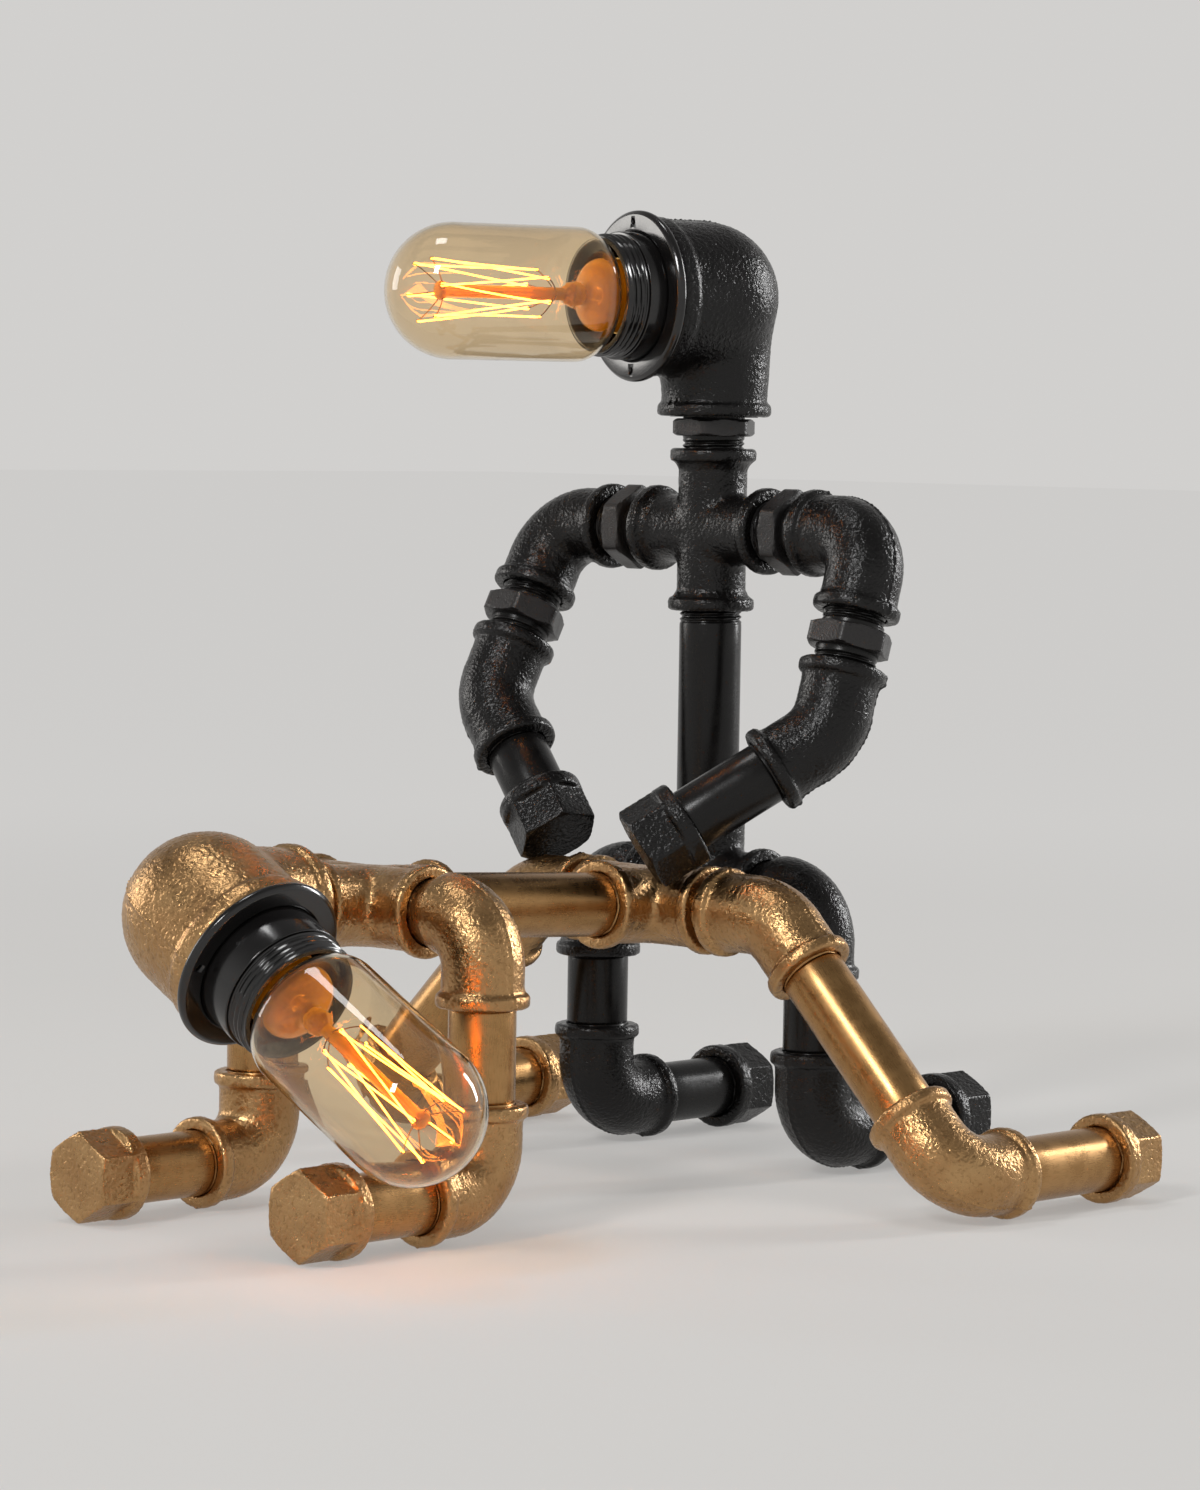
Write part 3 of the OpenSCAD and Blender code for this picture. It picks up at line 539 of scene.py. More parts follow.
def amber_material(name, colour):
    """Thick amber glass of the stem, with a painted glow, brighter towards its rim, standing in for the light
    of the wire beside it.
    """
    n = Nodes(name)
    swirl = n.noise(260, 3.0, 0.6, distortion=0.8)
    edge = n.add("ShaderNodeLayerWeight").outputs["Facing"]
    # Random swirl plus facing: towards the rim the colour turns brighter amber and glows more, which is a
    # painted glow.
    swirl_and_rim_glow = n.weighted((0.35, swirl), (0.75, edge))
    n.principled(
        Base_Color=n.mix(n.span(swirl_and_rim_glow, 0.2, 0.8, 0.0, 1.0), colour, (0.9, 0.42, 0.02, 1.0)),
        Roughness=n.span(swirl, 0.3, 0.7, 0.03, 0.07),
        IOR=1.5,
        Transmission_Weight=0.45,
        # Painted glow: emission stands in for the filament's light passing through the glass.
        Emission_Color=(1.0, 0.42, 0.0, 1.0),
        Emission_Strength=n.span(swirl_and_rim_glow, 0.2, 0.8, 0.02, 0.12),
        Normal=n.bump(swirl, 0.3, AMBER_BUMP_M),
        Coat_Weight=0.4,
        Coat_Roughness=0.02,
    )
    return n.mat


def glow_material(name, colour, strength, dim):
    """Incandescent wire, a little hotter here and there."""
    n = Nodes(name)
    heat = n.span(n.noise(180, 2.0, 0.5), 0.3, 0.7, dim, strength)
    dark = (0.02, 0.01, 0.005, 1.0)
    n.principled(Base_Color=dark, Roughness=0.5, Emission_Color=colour, Emission_Strength=heat)
    return n.mat


MAT = {
    "black_cast": cast_material(
        "black_cast", rgb("#100f0f"), rgb("#060606"), rgb("#141313"), 0.0, 0.18, rgb("#5a4330"),
        grain=2.0, size=820, spec=0.32),
    "gold_cast": cast_material(
        "gold_cast", rgb("#ae875b"), rgb("#6e502d"), rgb("#c09a6b"), 1.0, 0.27, rgb("#ecd2a6"),
        grain=1.8, size=720),
    "black_pipe": pipe_material(
        "black_pipe", rgb("#0f0e0e"), rgb("#080707"), rgb("#131211"), 0.0, 0.25, streak=0.6, spec=0.3),
    "gold_pipe": pipe_material(
        "gold_pipe", rgb("#a98152"), rgb("#735430"), rgb("#b88f5e"), 1.0, 0.27, streak=0.5),
    "black_hex": cast_material(
        "black_hex", rgb("#1f1e1e"), rgb("#100f0f"), rgb("#2a2828"), 0.0, 0.3, rgb("#4c4743"),
        grain=0.9, size=1300),
    "holder_black": plain_material("holder_black", rgb("#0b0a0a"), rgb("#121010"), 0.0, 0.17, coat=0.3),
    "holder_base": plain_material("holder_base", rgb("#cfc6b4"), rgb("#dcd4c4"), 0.0, 0.45),
    "contact_brass": plain_material("contact_brass", rgb("#b88a3c"), rgb("#caa050"), 1.0, 0.28),
    "bulb_cap_brass": plain_material("bulb_cap_brass", rgb("#b08a4a"), rgb("#c39c58"), 1.0, 0.25),
    "bulb_glass": glass_material("bulb_glass", (0.93, 0.81, 0.63, 1.0)),
    "stem_glass": amber_material("stem_glass", (0.42, 0.16, 0.0, 1.0)),
    "support_wire": plain_material("support_wire", rgb("#8a6d45"), rgb("#a5875c"), 1.0, 0.3),
    "filament": glow_material("filament", (1.0, 0.3, 0.035, 1.0), 24.0, 14.0),
    "insulator": plain_material("insulator", rgb("#0d0c0c"), rgb("#171514"), 0.0, 0.15),
}
SLOT = {entry["node"]: entry["material_slot"] for entry in frame["record"]["subparts"]}


def dress(obj, material, body, replaces=()):
    """Finish a new piece: material, body, slot, and the CAD nodes it stands for."""
    if material is not None:
        obj.data.materials.clear()
        obj.data.materials.append(MAT[material])
    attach(obj, body)
    if replaces:
        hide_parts(*replaces)
    return obj


BODY = {
    node: body
    for body, members in frame["record"]["behaviour"]["bodies"].items()
    for node in members
}


# ---------- castings ----------

FAR = 1e9
MOUTH_TRIM = 1.3
PAST_MOUTH = -9.0
FLOW_STEP = 0.8
SKIN_LEVEL = 0.95
SEAM_REACH = 42
SEAM_WIDTH = 0.5
SEAM_LOW = 0.15
SEAM_ROUGH = 0.5


def elbow_line(matrix, angle, a, radius, b=None):
    """Centre line of an elbow in mm: mouth above, then the turn, then the other mouth."""
    b = a if b is None else b
    step = radius * math.tan(math.radians(angle / 2))
    pts = [(0, 0, a), (0, 0, step)]
    for k in np.linspace(0, angle, 13)[1:]:
        k = math.radians(k)
        pts.append((radius - radius * math.cos(k), 0, step - radius * math.sin(k)))
    away = (math.sin(math.radians(angle)), 0, -math.cos(math.radians(angle)))
    pts.append(tuple(c * b for c in away))
    return through(matrix, *pts)


def through(matrix, *pts):
    """Points in mm through a matrix, still in mm."""
    m = np.array(matrix)
    return np.array(pts, float) @ m[:3, :3].T + m[:3, 3]


def near(co, line, radius):
    """Points within radius of a line, short of the line's two ends."""
    line = np.array(line, float)
    for i, j in ((0, 1), (-1, -2)):
        d = line[j] - line[i]
        line[i] = line[i] + d / np.linalg.norm(d) * MOUTH_TRIM
    best = np.full(len(co), FAR)
    for i, (a, b) in enumerate(zip(line, line[1:])):
        d = b - a
        along = (co - a) @ d / (d @ d)
        dist = np.linalg.norm(co - a - np.clip(along, 0, 1)[:, None] * d, axis=1)
        if i == 0:
            dist[along < 0] = FAR
        if i == len(line) - 2:
            dist[along > 1] = FAR
        best = np.minimum(best, dist)
    return best < radius


def clouds(name, size, depth):
    """Soft cloud texture for displacement, its size in mm."""
    tex = bpy.data.textures.new(name, "CLOUDS")
    tex.noise_scale = size * MM
    tex.noise_depth = depth
    tex.noise_type = "SOFT_NOISE"
    return tex


LEATHER = clouds("leather", 1.15, 2)
SWELL = clouds("swell", 7.0, 1)


def reach(co, line):
    """Distance of points from a centre line that runs on past its mouth, its first point."""
    best = np.full(len(co), FAR)
    for i, (a, b) in enumerate(zip(line, line[1:])):
        d = b - a
        along = (co - a) @ d / (d @ d)
        lo = PAST_MOUTH if i == 0 else 0.0
        best = np.minimum(best, np.linalg.norm(co - a - np.clip(along, lo, 1.0)[:, None] * d, axis=1))
    return best


def flowed(co, quads, weight, rounds):
    """Points relaxed towards their neighbours, by weight."""
    a = np.concatenate([quads[:, k] for k in range(4)])
    b = np.concatenate([quads[:, (k + 1) % 4] for k in range(4)])
    count = np.maximum(np.bincount(a, minlength=len(co)), 1)[:, None]
    for _ in range(rounds):
        mean = np.stack([np.bincount(a, co[b, k], len(co)) for k in range(3)], 1) / count
        co = co + weight[:, None] * FLOW_STEP * (mean - co)
    return co


def coordinates(mesh):
    """A mesh's vertex coordinates as one flat array."""
    co = np.zeros(len(mesh.vertices) * 3, np.float32)
    mesh.vertices.foreach_get("co", co)
    return co


def evaluated(obj):
    """New mesh of an object with its modifiers applied."""
    graph = bpy.context.evaluated_depsgraph_get()
    return bpy.data.meshes.new_from_object(obj.evaluated_get(graph))


def remeshed(name, voxel, rounds):
    """Points in mm and quads of a CAD node's form, remeshed fine and smoothed."""
    obj = bpy.data.objects.new("cast_" + name, NODES[name].data.copy())
    bpy.context.scene.collection.objects.link(obj)
    mod = obj.modifiers.new("voxels", "REMESH")
    mod.mode = "VOXEL"
    mod.voxel_size = voxel * MM
    mod = obj.modifiers.new("flow", "SMOOTH")
    mod.factor = 0.5
    mod.iterations = rounds
    solid = evaluated(obj)
    bpy.data.objects.remove(obj)
    co = coordinates(solid).reshape(-1, 3).astype(float) * MM_PER_M
    quads = np.zeros(len(solid.loops), np.int32)
    solid.loops.foreach_get("vertex_index", quads)
    bpy.data.meshes.remove(solid)
    return co, quads.reshape(-1, 4)


def without_hidden(co, quads, lines):
    """The form without the faces inside its hollows."""
    inside = np.zeros(len(co), bool)
    for line, radius in lines:
        inside |= near(co, line, radius)
    quads = quads[~inside[quads].all(1)]
    used = np.unique(quads)
    new = np.full(len(co), -1, np.int32)
    new[used] = np.arange(len(used))
    return co[used], new[quads]


def seamed(co, normals, seams):
    """Points with a rough ridge raised where a parting plane cuts the surface."""
    for seam in seams:
        point, across, show = (np.array(v, float) for v in seam)
        gap = (co - point) @ across
        close = np.linalg.norm(co - point, axis=1) < SEAM_REACH
        ridge = np.exp(-((gap / SEAM_WIDTH) ** 2)) * ((normals @ show) > 0.25) * close
        on = ridge > 0.05
        waves = (math.sin(3.1 * a + 1.7 * b) * math.sin(2.3 * b - 1.3 * c) for a, b, c in co[on])
        rough = np.array([0.5 + 0.5 * wave for wave in waves])
        lift = np.zeros(len(co))
        lift[on] = ridge[on] * (SEAM_LOW + SEAM_ROUGH * rough)
        co = co + normals * lift[:, None]
    return co


def cast_skin(
    name, lines, material, voxel=0.5, rounds=4, skin=0.34, swell=0.14, arms=(), flow=40, soft=5.0, seams=()
):
    """Casting over a CAD node: its form remeshed, its corners flowed, and a leathery skin raised on it.

    lines are (centre line, radius) of the hollow inside, whose hidden faces are dropped.
    arms are (centre line, outer radius), and where two of them meet the metal is filleted.
    seams are (point, normal of the parting plane, side it shows on), where a flash line stands up.
    """
    co, quads = without_hidden(*remeshed(name, voxel, rounds), lines)
    if len(arms) > 1:
        off = np.sort(np.stack([reach(co, line) - rad for line, rad in arms]), 0)
        weight = np.clip(1.15 - off[1] / soft, 0, 1) ** 0.7
        co = flowed(co, quads, weight, flow)
    piece = mesh_object("cast_" + name, co * MM, quads)
    normals = np.zeros(len(co) * 3, np.float32)
    piece.data.vertices.foreach_get("normal", normals)
    co = seamed(co, normals.reshape(-1, 3), seams)
    piece.data.vertices.foreach_set("co", (co * MM).astype(np.float32).ravel())
    for tex, depth in ((LEATHER, skin), (SWELL, swell)):
        mod = piece.modifiers.new("skin", "DISPLACE")
        mod.texture = tex
        mod.texture_coords = "LOCAL"
        mod.strength = depth * MM
        mod.mid_level = SKIN_LEVEL
    old = piece.data
    piece.data = evaluated(piece)
    piece.modifiers.clear()
    bpy.data.meshes.remove(old)
    co = coordinates(piece.data)
    co[2::3] = np.maximum(co[2::3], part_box(name)[0][2])  # nothing below the node's own foot
    piece.data.vertices.foreach_set("co", co)
    piece.data.update()
    return dress(piece, material, BODY[name], (name,))


WALL_R = 11.35
STREET_WALL_R = 9.2
STREET_STEP = 15.5
CAP_DEPTH = 16.5
HEAD_WALL_R = 22.9
HEAD_NECK_WALL_R = 16.0
HEAD_ARM_R = 26.5
HEAD_NECK_ARM_R = 19.0
ARM_R = {"black_cross": 12.0, "black_hip_tee": 13.25, "gold_cross": 13.25, "gold_hip_tee": 13.25}


def elbow_hollow(matrix):
    return [(elbow_line(matrix, 90, ELBOW_A, ELBOW_R), WALL_R)]


def bend_hollow(matrix):
    return [(elbow_line(matrix, 45, BEND_A, BEND_R), WALL_R)]


def street_hollow(matrix):
    return [
        (through(matrix, (0, 0, ELBOW_A), (0, 0, ELBOW_A - STREET_STEP)), WALL_R),
        (elbow_line(matrix, 90, ELBOW_A - 3, ELBOW_R, STREET_B), STREET_WALL_R),
    ]


def run_hollow(matrix, *dirs):
    """Hollow of a tee or cross with these arm directions."""
    out = []
    for d in dirs:
        end = tuple(ELBOW_A * c for c in d)
        inner = tuple(-1.5 * c for c in d)
        out.append((through(matrix, end, inner), WALL_R))
    return out


def cap_hollow(matrix, at):
    return [(through(matrix, (0, 0, at), (0, 0, at + CAP_DEPTH)), WALL_R)]


def head_hollow(kind):
    m = AT_HEAD[kind]
    return [
        (through(m, (HEAD_A, 0, 0), (DOME_X - MOUTH_TRIM, 0, 0)), HEAD_WALL_R),
        (through(m, (0, 0, -HEAD_NECK_A), (0, 0, 0)), HEAD_NECK_WALL_R),
    ]


shoulder = at_black(BLACK_SHOULDER_H) @ r(0, 0, 90)
hip = at_black(BLACK_HIP_H) @ r(0, 0, 90)
X, Y, Z = (1, 0, 0), (0, 1, 0), (0, 0, 1)


def minus(v):
    return tuple(-c for c in v)


def both(hollow, place):
    """Hollows of a left and right pair."""
    return [h for s in BOTH for h in hollow(place(s))]


CASTS = {
    "black_cross": run_hollow(shoulder, X, minus(X), Z, minus(Z)),
    "black_hip_tee": run_hollow(hip, X, minus(X), Z),
    "black_hip_elbows": both(street_hollow, at_black_hip),
    "black_knee_elbows": both(elbow_hollow, at_knee),
    "black_left_shoulder_elbow": elbow_hollow(at_shoulder(-1)),
    "black_right_shoulder_elbow": elbow_hollow(at_shoulder(1)),
    "black_left_bend": bend_hollow(at_bend(-1)),
    "black_right_bend": bend_hollow(at_bend(1)),
    "gold_cross": run_hollow(AT_TORSO @ r(90, 0, 0), X, minus(X), Z, minus(Z)),
    "gold_hip_tee": run_hollow(AT_TORSO @ t(GOLD_REACH, 0, 0), minus(X), Y, minus(Y)),
    "gold_shoulder_elbows": both(street_hollow, at_gold_shoulder),
    "gold_wrist_elbows": both(elbow_hollow, lambda s: at_wrist(s) @ r(0, 0, 180)),
    "gold_hip_bends": both(bend_hollow, lambda s: at_gold_hip(s) @ outward_down(s)),
    "gold_ankle_elbows": both(elbow_hollow, lambda s: at_ankle(s) @ r(s * 45, 0, 0)),
}


def bend_seams(place, sides=BOTH, angle=90):
    """Parting line along the outside of bent fittings, in the plane of the bend."""
    out = []
    for s in sides:
        m = np.array(place(s))
        away = m[:3, 0] * math.sin(math.radians(angle)) - m[:3, 2] * math.cos(math.radians(angle))
        show = -(away + m[:3, 2])
        out.append((m[:3, 3], m[:3, 1], show / np.linalg.norm(show)))
    return out


SEAMS = {
    "black_left_shoulder_elbow": bend_seams(at_shoulder, (-1,)),
    "black_right_shoulder_elbow": bend_seams(at_shoulder, (1,)),
    "black_left_bend": bend_seams(at_bend, (-1,), 45),
    "black_right_bend": bend_seams(at_bend, (1,), 45),
    "black_knee_elbows": bend_seams(at_knee),
    "gold_shoulder_elbows": bend_seams(at_gold_shoulder),
    "gold_wrist_elbows": bend_seams(lambda s: at_wrist(s) @ r(0, 0, 180)),
    "gold_hip_bends": bend_seams(lambda s: at_gold_hip(s) @ outward_down(s), angle=45),
    "gold_ankle_elbows": bend_seams(lambda s: at_ankle(s) @ r(s * 45, 0, 0)),
}
for name, lines in CASTS.items():
    arms = [(line, ARM_R[name]) for line, _ in lines] if name in ARM_R else ()
    cast_skin(name, lines, name.split("_")[0] + "_cast", arms=arms, seams=SEAMS.get(name, ()))


def end_caps(place, at):
    return both(lambda m: cap_hollow(m, at), place)


CAPS = {
    "black_foot_caps": end_caps(lambda s: at_knee(s) @ r(0, 90, 0), ELBOW_A + SHIN_OPEN),
    "black_left_hand_cap": cap_hollow(at_forearm(-1), FOREARM[-1]),
    "black_right_hand_cap": cap_hollow(at_forearm(1), FOREARM[1]),
    "gold_hand_caps": end_caps(lambda s: at_wrist(s) @ r(0, -90, 0), ELBOW_A + GOLD_HAND_OPEN),
    "gold_foot_caps": end_caps(lambda s: at_ankle(s) @ r(0, 90, 0), ELBOW_A + GOLD_FOOT_OPEN),
}
for name, lines in CAPS.items():
    cast_skin(name, lines, name.split("_")[0] + "_cast", voxel=0.45, skin=0.32, swell=0.08)
for kind in KINDS:
    m = AT_HEAD[kind]
    axes = np.array(m)
    cast_skin(
        kind + "_head_elbow",
        head_hollow(kind),
        kind + "_cast",
        voxel=0.55,
        rounds=6,
        skin=0.4,
        swell=0.18,
        arms=[
            (through(m, (HEAD_A, 0, 0), (DOME_X, 0, 0)), HEAD_ARM_R),
            (through(m, (0, 0, -HEAD_NECK_A), (0, 0, 0)), HEAD_NECK_ARM_R),
        ],
        flow=130,
        soft=8.0,
        seams=[(axes[:3, 3], axes[:3, 1], axes[:3, 2])],
    )


# ---------- pipes and nipples ----------

N = 120
THETA = np.arange(N) * 2 * math.pi / N
TURN = THETA / (2 * math.pi)
PITCH = 1.814
THREAD_DEPTH = 0.75
THREAD_GAP = 0.04
IN_SOCKET = 3.0
RUNOUT = 1.8
END_CHAMFER = 0.8
HEX_AF = 26.0
SHORT, CLOSE = (0.8, 0.8), (1.0, 1.0)


def thread_rows(z0, z1, fade0, fade1):
    """Rows of a helical thread cut into a bar between z0 and z1, running out over fade0 and fade1."""
    rows = []
    for z in np.arange(z0, z1 + 1e-6, PITCH / 8):
        phase = (z / PITCH - TURN) % 1.0
        cut = np.clip(1.6 * (1 - np.abs(2 * phase - 1)) - 0.3, 0, 1)
        run = 1.0
        if fade0:
            run = min(run, (z - z0) / fade0)
        if fade1:
            run = min(run, (z1 - z) / fade1)
        rows.append((PIPE_R - THREAD_GAP - THREAD_DEPTH * cut * max(0.0, run), z))
    return rows


def hex_rows(z0, z1):
    """Rows of a hexagon with round-cornered flats and turned chamfers."""
    half = HEX_AF / 2
    corner = half / math.cos(math.radians(30))
    phi = (THETA + math.radians(30)) % math.radians(60) - math.radians(30)
    flat = half / np.cos(phi)
    flat = -np.log(np.exp(-6 * flat) + np.exp(-6 * (corner - 0.35))) / 6
    chamfer = ((half - 1.0, 0.0), (half - 0.35, 0.06), (half + 0.1, 0.25), (half + 0.65, 0.55), (corner, 0.95))
    rows = [(PIPE_R, z0)]
    rows += [(np.minimum(flat, f), z0 + dz) for f, dz in chamfer]
    rows += [(flat, z0 + (z1 - z0) * k) for k in (0.25, 0.5, 0.75)]
    rows += [(np.minimum(flat, f), z1 - dz) for f, dz in reversed(chamfer)]
    rows.append((PIPE_R, z1))
    return rows


def nipple(node, matrices, length, hexagon=None, show=(3.5, 3.5)):
    """Pipe or nipple with its open length from z = 0, threads showing for `show` mm at each end."""
    material = node.split("_")[0] + "_pipe"
    parts = []
    for matrix in matrices:
        rows = [(BORE_R, length + THREAD_LEN), (BORE_R, -THREAD_LEN), (PIPE_R - END_CHAMFER, -THREAD_LEN)]
        rows += thread_rows(-IN_SOCKET, show[0], 0, RUNOUT)
        first = len(rows)
        if hexagon:
            rows += hex_rows(*hexagon)
        else:
            a, b = show[0] + 0.2, length - show[1] - 0.2
            rows += [(PIPE_R, z) for z in np.linspace(a, b, max(3, int((b - a) / 6)))]
        last = len(rows) - 1
        rows += thread_rows(length - show[1], length + IN_SOCKET, RUNOUT, 0)
        rows += [(PIPE_R - END_CHAMFER, length + THREAD_LEN)]
        obj = rows_piece("nipple_" + node, rows, matrix, n=N, sharp=38)
        obj.data.materials.append(MAT[material])
        if hexagon:
            obj.data.materials.append(MAT["black_hex"])
            index = np.zeros(len(obj.data.polygons), np.int32)
            index[first * N : last * N] = 1
            obj.data.polygons.foreach_set("material_index", index)
        parts.append(obj)
    piece = merged("nipple_" + node, parts) if len(parts) > 1 else parts[0]
    return dress(piece, None, BODY[node], (node,))


def pair(place):
    return [place(s) for s in BOTH]


PAST_ELBOW = t(0, 0, ELBOW_A)
mid_hex = ((HEX_REACH - HEX_T) / 2, (HEX_REACH + HEX_T) / 2)
torso_open = BLACK_SHOULDER_H - BLACK_HIP_H - 2 * ELBOW_A
gold_arm = GOLD_SHOULDER_H - AXIS_H - 2 * ELBOW_A
nipple("black_torso_pipe", [at_black(BLACK_HIP_H + ELBOW_A)], torso_open, show=(1.0, 4.5))
nipple(
    "black_thigh_nipples",
    pair(lambda s: at_black(AXIS_H + ELBOW_A) @ t(0, s * STREET, 0)),
    THIGH_OPEN,
    show=SHORT,
)
nipple("black_shin_nipples", pair(lambda s: at_knee(s) @ r(0, 90, 0) @ PAST_ELBOW), SHIN_OPEN, show=SHORT)
for side, s in SIDES.items():
    across = at_black(BLACK_SHOULDER_H) @ r(-s * 90, 0, 0) @ PAST_ELBOW
    nipple(f"black_{side}_shoulder_nipple", [across], HEX_REACH, mid_hex)
    nipple(f"black_{side}_arm_nipple", [at_upper_arm(s) @ t(0, 0, -ELBOW_A - HEX_REACH)], HEX_REACH, mid_hex)
    nipple(f"black_{side}_forearm_nipple", [at_forearm(s)], FOREARM[s], show=SHORT)
nipple("black_neck_nipple", [at_black(BLACK_SHOULDER_H + ELBOW_A)], NECK["black"], (4.0, 10.0), show=(3.6, 0.3))
nipple("gold_torso_pipe", [AT_TORSO @ r(0, 90, 0) @ PAST_ELBOW], GOLD_TORSO_OPEN, show=CLOSE)
nipple("gold_arm_nipples", pair(lambda s: t(GOLD_X, s * STREET, AXIS_H + ELBOW_A)), gold_arm, show=SHORT)
nipple("gold_hand_nipples", pair(lambda s: at_wrist(s) @ r(0, -90, 0) @ PAST_ELBOW), GOLD_HAND_OPEN, show=SHORT)
nipple(
    "gold_hip_nipples",
    pair(lambda s: t(GOLD_HIP_X, 0, GOLD_HIP_H) @ r(-s * 90, 0, 0) @ PAST_ELBOW),
    GOLD_HIP_OPEN,
    show=(1.4, 1.4),
)
nipple(
    "gold_leg_pipes",
    pair(lambda s: at_gold_hip(s) @ r(s * 45, 0, 0) @ t(0, 0, -BEND_A - GOLD_LEG)),
    GOLD_LEG,
    show=SHORT,
)
nipple("gold_foot_nipples", pair(lambda s: at_ankle(s) @ r(0, 90, 0) @ PAST_ELBOW), GOLD_FOOT_OPEN, show=SHORT)
nipple("gold_neck_nipple", [AT_TORSO @ r(0, -90, 0) @ PAST_ELBOW], NECK["gold"], show=(2.4, 2.4))


# ---------- lampholders ----------

RING_BORE_R = 21.7
SPANNER_HOLE = (25.15, 1.3)
SKIRT_BODY_R = 21.65
SKIRT_ROOT_R = 20.0
SKIRT_CREST_R = 20.8
SKIRT_PITCH = 2.0
MOUTH_R = 18.0


def holder_ring(kind):
    """Glossy fixing ring with two spanner holes."""
    profile = [
        (RING_BORE_R, 0.4), (RING_BORE_R + 0.4, 0.0), (RING_R - 1.2, 0.0), (RING_R, 1.0),
        (RING_R, RING_T - 1.2), (RING_R - 1.2, RING_T), (22.4, RING_T), (21.72, RING_T - 0.5),
    ]
    ring = rows_piece(kind + "_ring", rounded(profile, 0.6), AT_RING[kind], n=160, sharp=40)
    at, hole_r = SPANNER_HOLE
    cuts = [tube([(s * at, 0, -2), (s * at, 0, 6)], hole_r, sides=24) for s in BOTH]
    cutter = tubes_object("cutter", cuts, AT_RING[kind])
    mod = ring.modifiers.new("holes", "BOOLEAN")
    mod.operation = "DIFFERENCE"
    mod.object = cutter
    mesh = evaluated(ring)
    ring.modifiers.clear()
    ring.data = mesh
    bpy.data.objects.remove(cutter)
    return dress(ring, "holder_black", kind + "_head", (kind + "_holder_ring",))


def holder_body(kind):
    """Smooth shoulder, helical thread, thin mouth rim and the slimmer back in the head."""
    z0, z1 = SKIRT_H - SKIRT_LEN, SKIRT_H
    back = -(GOLD_OUT + 2)
    rows = rounded(
        [
            (16.0, -HOLDER_DEPTH), (19.0, -HOLDER_DEPTH), (19.0, back), (SKIRT_BODY_R, back),
            (SKIRT_BODY_R, z0), (20.6, z0), (SKIRT_ROOT_R, z0 + 0.6),
        ],
        0.7,
    )
    for z in np.arange(z0 + 0.7, z1 - 0.9, SKIRT_PITCH / 10):
        phase = (z / SKIRT_PITCH - TURN) % 1.0
        cut = np.clip(1.9 * (1 - np.abs(2 * phase - 1)) - 0.45, 0, 1)
        run = min(1.0, (z1 - 0.9 - z) / 0.8, (z - z0 - 0.4) / 0.8)
        rows.append((SKIRT_ROOT_R + (SKIRT_CREST_R - SKIRT_ROOT_R) * (1 - cut) * max(0.0, run), z))
    rows += [
        (SKIRT_ROOT_R, z1 - 0.75), (SKIRT_ROOT_R, z1 - 0.3), (19.8, z1 - 0.08), (19.4, z1), (18.7, z1),
        (18.2, z1 - 0.15), (MOUTH_R, z1 - 0.6), (MOUTH_R, -1.2), (17.4, -2.0), (16.0, -2.0),
    ]
    obj = rows_piece(kind + "_holder", rows, AT_HOLDER[kind], n=N, sharp=34)
    return dress(obj, "holder_black", kind + "_head", (kind + "_holder_body",))


# ---------- bulbs ----------

GLASS_T = 0.9
GLASS_NECK_R = 12.4
GLASS_RISE_LEN = 17.0


def glass_profile(o):
    """Outline of the glass, o inside the outer surface."""
    rise = BULB_R - GLASS_NECK_R
    phi = 2 * math.degrees(math.atan(rise / GLASS_RISE_LEN))
    rho = GLASS_RISE_LEN / 2 / math.sin(math.radians(phi))
    z0, z1, zt = BULB_CAP_LEN + 1.0, BULB_CAP_LEN + 18.0, BULB_LEN - BULB_R
    pts = [(GLASS_NECK_R - o, BULB_CAP_LEN - 7.0)]
    pts += arc(GLASS_NECK_R + rho, z0, rho + o, 180, 180 - phi, 14)
    pts += arc(BULB_R - rho, z1, rho - o, -phi, 0, 14)
    pts += [(BULB_R - o, z) for z in np.linspace(z1 + 4, zt - 4, 10)]
    pts += arc(0, zt, BULB_R - o, 0, 89.2, 28)
    return pts


def bulb_glass(kind):
    outer, inner = glass_profile(0.0), glass_profile(GLASS_T)
    rows = outer + [(0.0, BULB_LEN), (0.0, BULB_LEN - GLASS_T)] + inner[::-1]
    obj = weld(rows_piece(kind + "_glass", rows, AT_BULB[kind], n=128, sharp=None, uv=False))
    return dress(obj, "bulb_glass", kind + "_bulb", (kind + "_bulb_glass",))


STEM_FLARE = [
    (11.3, 24.0), (11.5, 27.0), (12.1, 30.0), (12.5, 32.4), (12.4, 34.2), (11.7, 35.8),
    (10.3, 37.2), (8.2, 38.3), (6.0, 39.0), (4.4, 39.6), (3.7, 40.3), (3.3, 41.2),
]
STEM_ROD = [
    (2.25, 49.0), (2.2, 51.0), (2.2, 60.0), (2.15, 75.0), (2.2, 90.0), (2.3, 94.0),
    (2.9, 94.8), (3.2, 95.6), (3.2, 96.4), (2.7, 97.2), (1.4, 97.5), (0.0, 97.5),
]
STEM_INSIDE = [
    (0.0, 39.6), (2.0, 39.2), (5.0, 38.0), (8.0, 37.0), (10.2, 35.4),
    (11.3, 33.6), (11.5, 32.0), (11.2, 30.0), (10.7, 27.0), (10.5, 24.0),
]
BALL_R = 4.6
BALL_Z = 44.0


